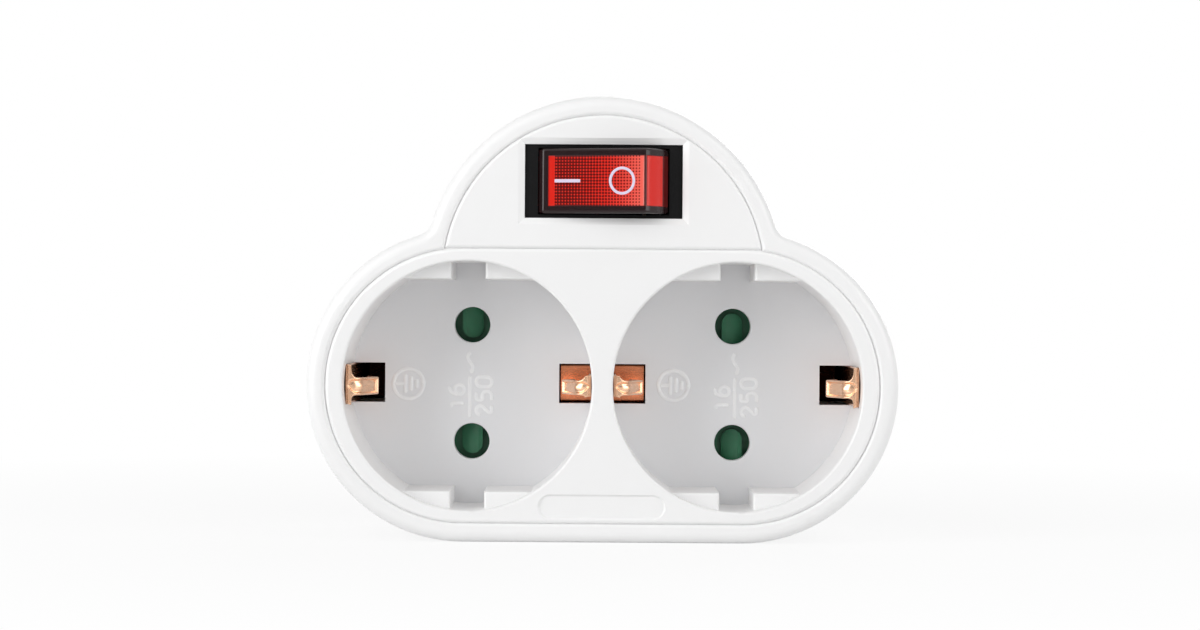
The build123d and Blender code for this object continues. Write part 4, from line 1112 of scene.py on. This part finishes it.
class ADAPTER_OT_stage(bpy.types.Operator):
    """White floor and surround, a grey card, five soft lights and the camera"""

    bl_idname = "adapter.stage"
    bl_label = "Set the stage"

    def execute(self, context):
        stage = context.scene.adapter_stage
        self.lay_floor()
        self.hang_card()
        self.light_surround(context, stage.sky_level)
        # Soft boxes: name, place and side in metres, and power
        boxes = (
            ("left_box", (-0.7, -0.5, 0.1), 0.6, stage.left_power),
            ("right_box", (0.7, -0.5, 0.1), 0.6, stage.right_power),
            ("left_high_box", (-0.5, -0.5, 0.5), 0.5, stage.left_high_power),
            ("right_high_box", (0.5, -0.5, 0.5), 0.5, stage.right_high_power),
            ("back_box", (0.3, 0.7, 0.4), 0.6, stage.back_power),
        )
        for box in boxes:
            self.hang_light(*box)
        camera = bpy.data.cameras.new("camera")
        camera.sensor_width = SENSOR_WIDTH
        camera.lens = stage.focal_pixels * SENSOR_WIDTH / IMAGE_WIDTH
        holder = link_object("camera", camera)
        view = Matrix.Rotation(pi / 2, 4, "X") @ Matrix.Rotation(stage.camera_roll, 4, "Z")
        place = Matrix.Translation((stage.camera_x, stage.camera_y, stage.camera_z))
        holder.matrix_world = place @ view
        context.scene.camera = holder
        context.scene.view_settings.view_transform = "Standard"
        return {"FINISHED"}

    def lay_floor(self):
        """Plain floor under the part, white to the camera but for a trace of shadow near the part."""
        material = bpy.data.materials.new("white_paper")
        tree = cleared_tree(material)
        paper = add_node(tree, "ShaderNodeBsdfDiffuse", {"Color": rgba(linear("F1F1F1"))})
        glow = add_node(tree, "ShaderNodeEmission", {"Color": (1, 1, 1, 1), "Strength": 1.0})
        place = add_node(tree, "ShaderNodeTexCoord").outputs["Object"]
        reach = add_node(tree, "ShaderNodeVectorMath", {"operation": "LENGTH"}, {0: place})
        # The shadow fades out between these distances from the origin
        near, far, near_white = 0.06, 0.22, 0.86
        fade = {"From Min": near, "From Max": far, "To Min": near_white, "To Max": 1.0}
        white = add_node(tree, "ShaderNodeMapRange", fade, {"Value": reach.outputs["Value"]})
        shares = {0: seen_directly(tree), 1: white.outputs["Result"]}
        share = add_node(tree, "ShaderNodeMath", {"operation": "MULTIPLY"}, shares)
        layers = {0: share.outputs[0], 1: paper.outputs[0], 2: glow.outputs[0]}
        mixed = add_node(tree, "ShaderNodeMixShader", links=layers)
        add_node(tree, "ShaderNodeOutputMaterial", links={"Surface": mixed.outputs[0]})
        half, low = 3, CAD_BOX[0].z
        self.add_sheet("floor", [(half * x, half * y, low) for x, y in SQUARE], material)

    def hang_card(self):
        """Grey card behind the lens, seen only in reflections, that keeps the blacks of the switch black."""
        half_width, half_height, far = 0.42, 0.36, -0.62
        felt = new_finish("grey_felt", {"Base Color": rgba(linear("AAAAAA")), "Roughness": 1.0})[0]
        corners = [(half_width * x, far, half_height * z) for x, z in reversed(SQUARE)]
        card = self.add_sheet("front_card", corners, felt)
        card.visible_camera = False
        card.visible_diffuse = False
        card.visible_shadow = False

    def add_sheet(self, name, corners, material):
        """Flat sheet with four corners in the scene."""
        sheet = link_object(name, new_mesh(name, corners, [(0, 1, 2, 3)], material))
        return sheet

    def light_surround(self, context, level):
        """World that is white where it is seen or mirrored, and lights the part at a lower level."""
        world = bpy.data.worlds.new("surround")
        tree = cleared_tree(world)
        levels = {"To Min": level, "To Max": 1.0}
        strength = add_node(tree, "ShaderNodeMapRange", levels, {"Value": seen_directly(tree)})
        white = {"Color": (1, 1, 1, 1)}
        sky = add_node(tree, "ShaderNodeBackground", white, {"Strength": strength.outputs["Result"]})
        add_node(tree, "ShaderNodeOutputWorld", links={"Surface": sky.outputs[0]})
        context.scene.world = world

    def hang_light(self, name, place, size, power):
        """Square area light that faces the middle of the front."""
        light = bpy.data.lights.new(name, "AREA")
        light.size = size
        light.energy = power
        holder = link_object(name, light)
        holder.location = place
        holder.rotation_euler = (Vector((0, FRONT_Y, 0)) - Vector(place)).to_track_quat("-Z", "Y").to_euler()
        holder.visible_camera = False


GROUPS = {"adapter_sizes": AdapterSizes, "adapter_looks": AdapterLooks, "adapter_stage": AdapterStage}
STEPS = (
    ADAPTER_OT_housing,
    ADAPTER_OT_switch,
    ADAPTER_OT_shutters,
    ADAPTER_OT_clips,
    ADAPTER_OT_floor_marks,
    ADAPTER_OT_plug,
    ADAPTER_OT_inside,
    ADAPTER_OT_stage,
)


class VIEW3D_PT_adapter(bpy.types.Panel):
    """Sizes, colours and steps of the adapter"""

    bl_label = "Socket adapter"
    bl_space_type = "VIEW_3D"
    bl_region_type = "UI"
    bl_category = "Adapter"

    def draw(self, context):
        for name, group in GROUPS.items():
            column = self.layout.column(align=True)
            for setting in group.__annotations__:
                column.prop(getattr(context.scene, name), setting)
        for step in STEPS:
            self.layout.operator(step.bl_idname)


CLASSES = (*GROUPS.values(), *STEPS, VIEW3D_PT_adapter)


def register():
    """Register the classes and hang the settings on the scene."""
    for each in CLASSES:
        bpy.utils.register_class(each)
    for name, group in GROUPS.items():
        setattr(bpy.types.Scene, name, bpy.props.PointerProperty(type=group))


def unregister():
    """Take the settings off the scene and unregister the classes."""
    for name in GROUPS:
        delattr(bpy.types.Scene, name)
    for each in reversed(CLASSES):
        bpy.utils.unregister_class(each)


def main():
    """Run every step."""
    register()
    bpy.ops.adapter.housing()
    bpy.ops.adapter.switch()
    bpy.ops.adapter.shutters()
    bpy.ops.adapter.clips()
    bpy.ops.adapter.floor_marks()
    bpy.ops.adapter.plug()
    bpy.ops.adapter.inside()
    bpy.ops.adapter.stage()


if __name__ == "__main__":
    main()
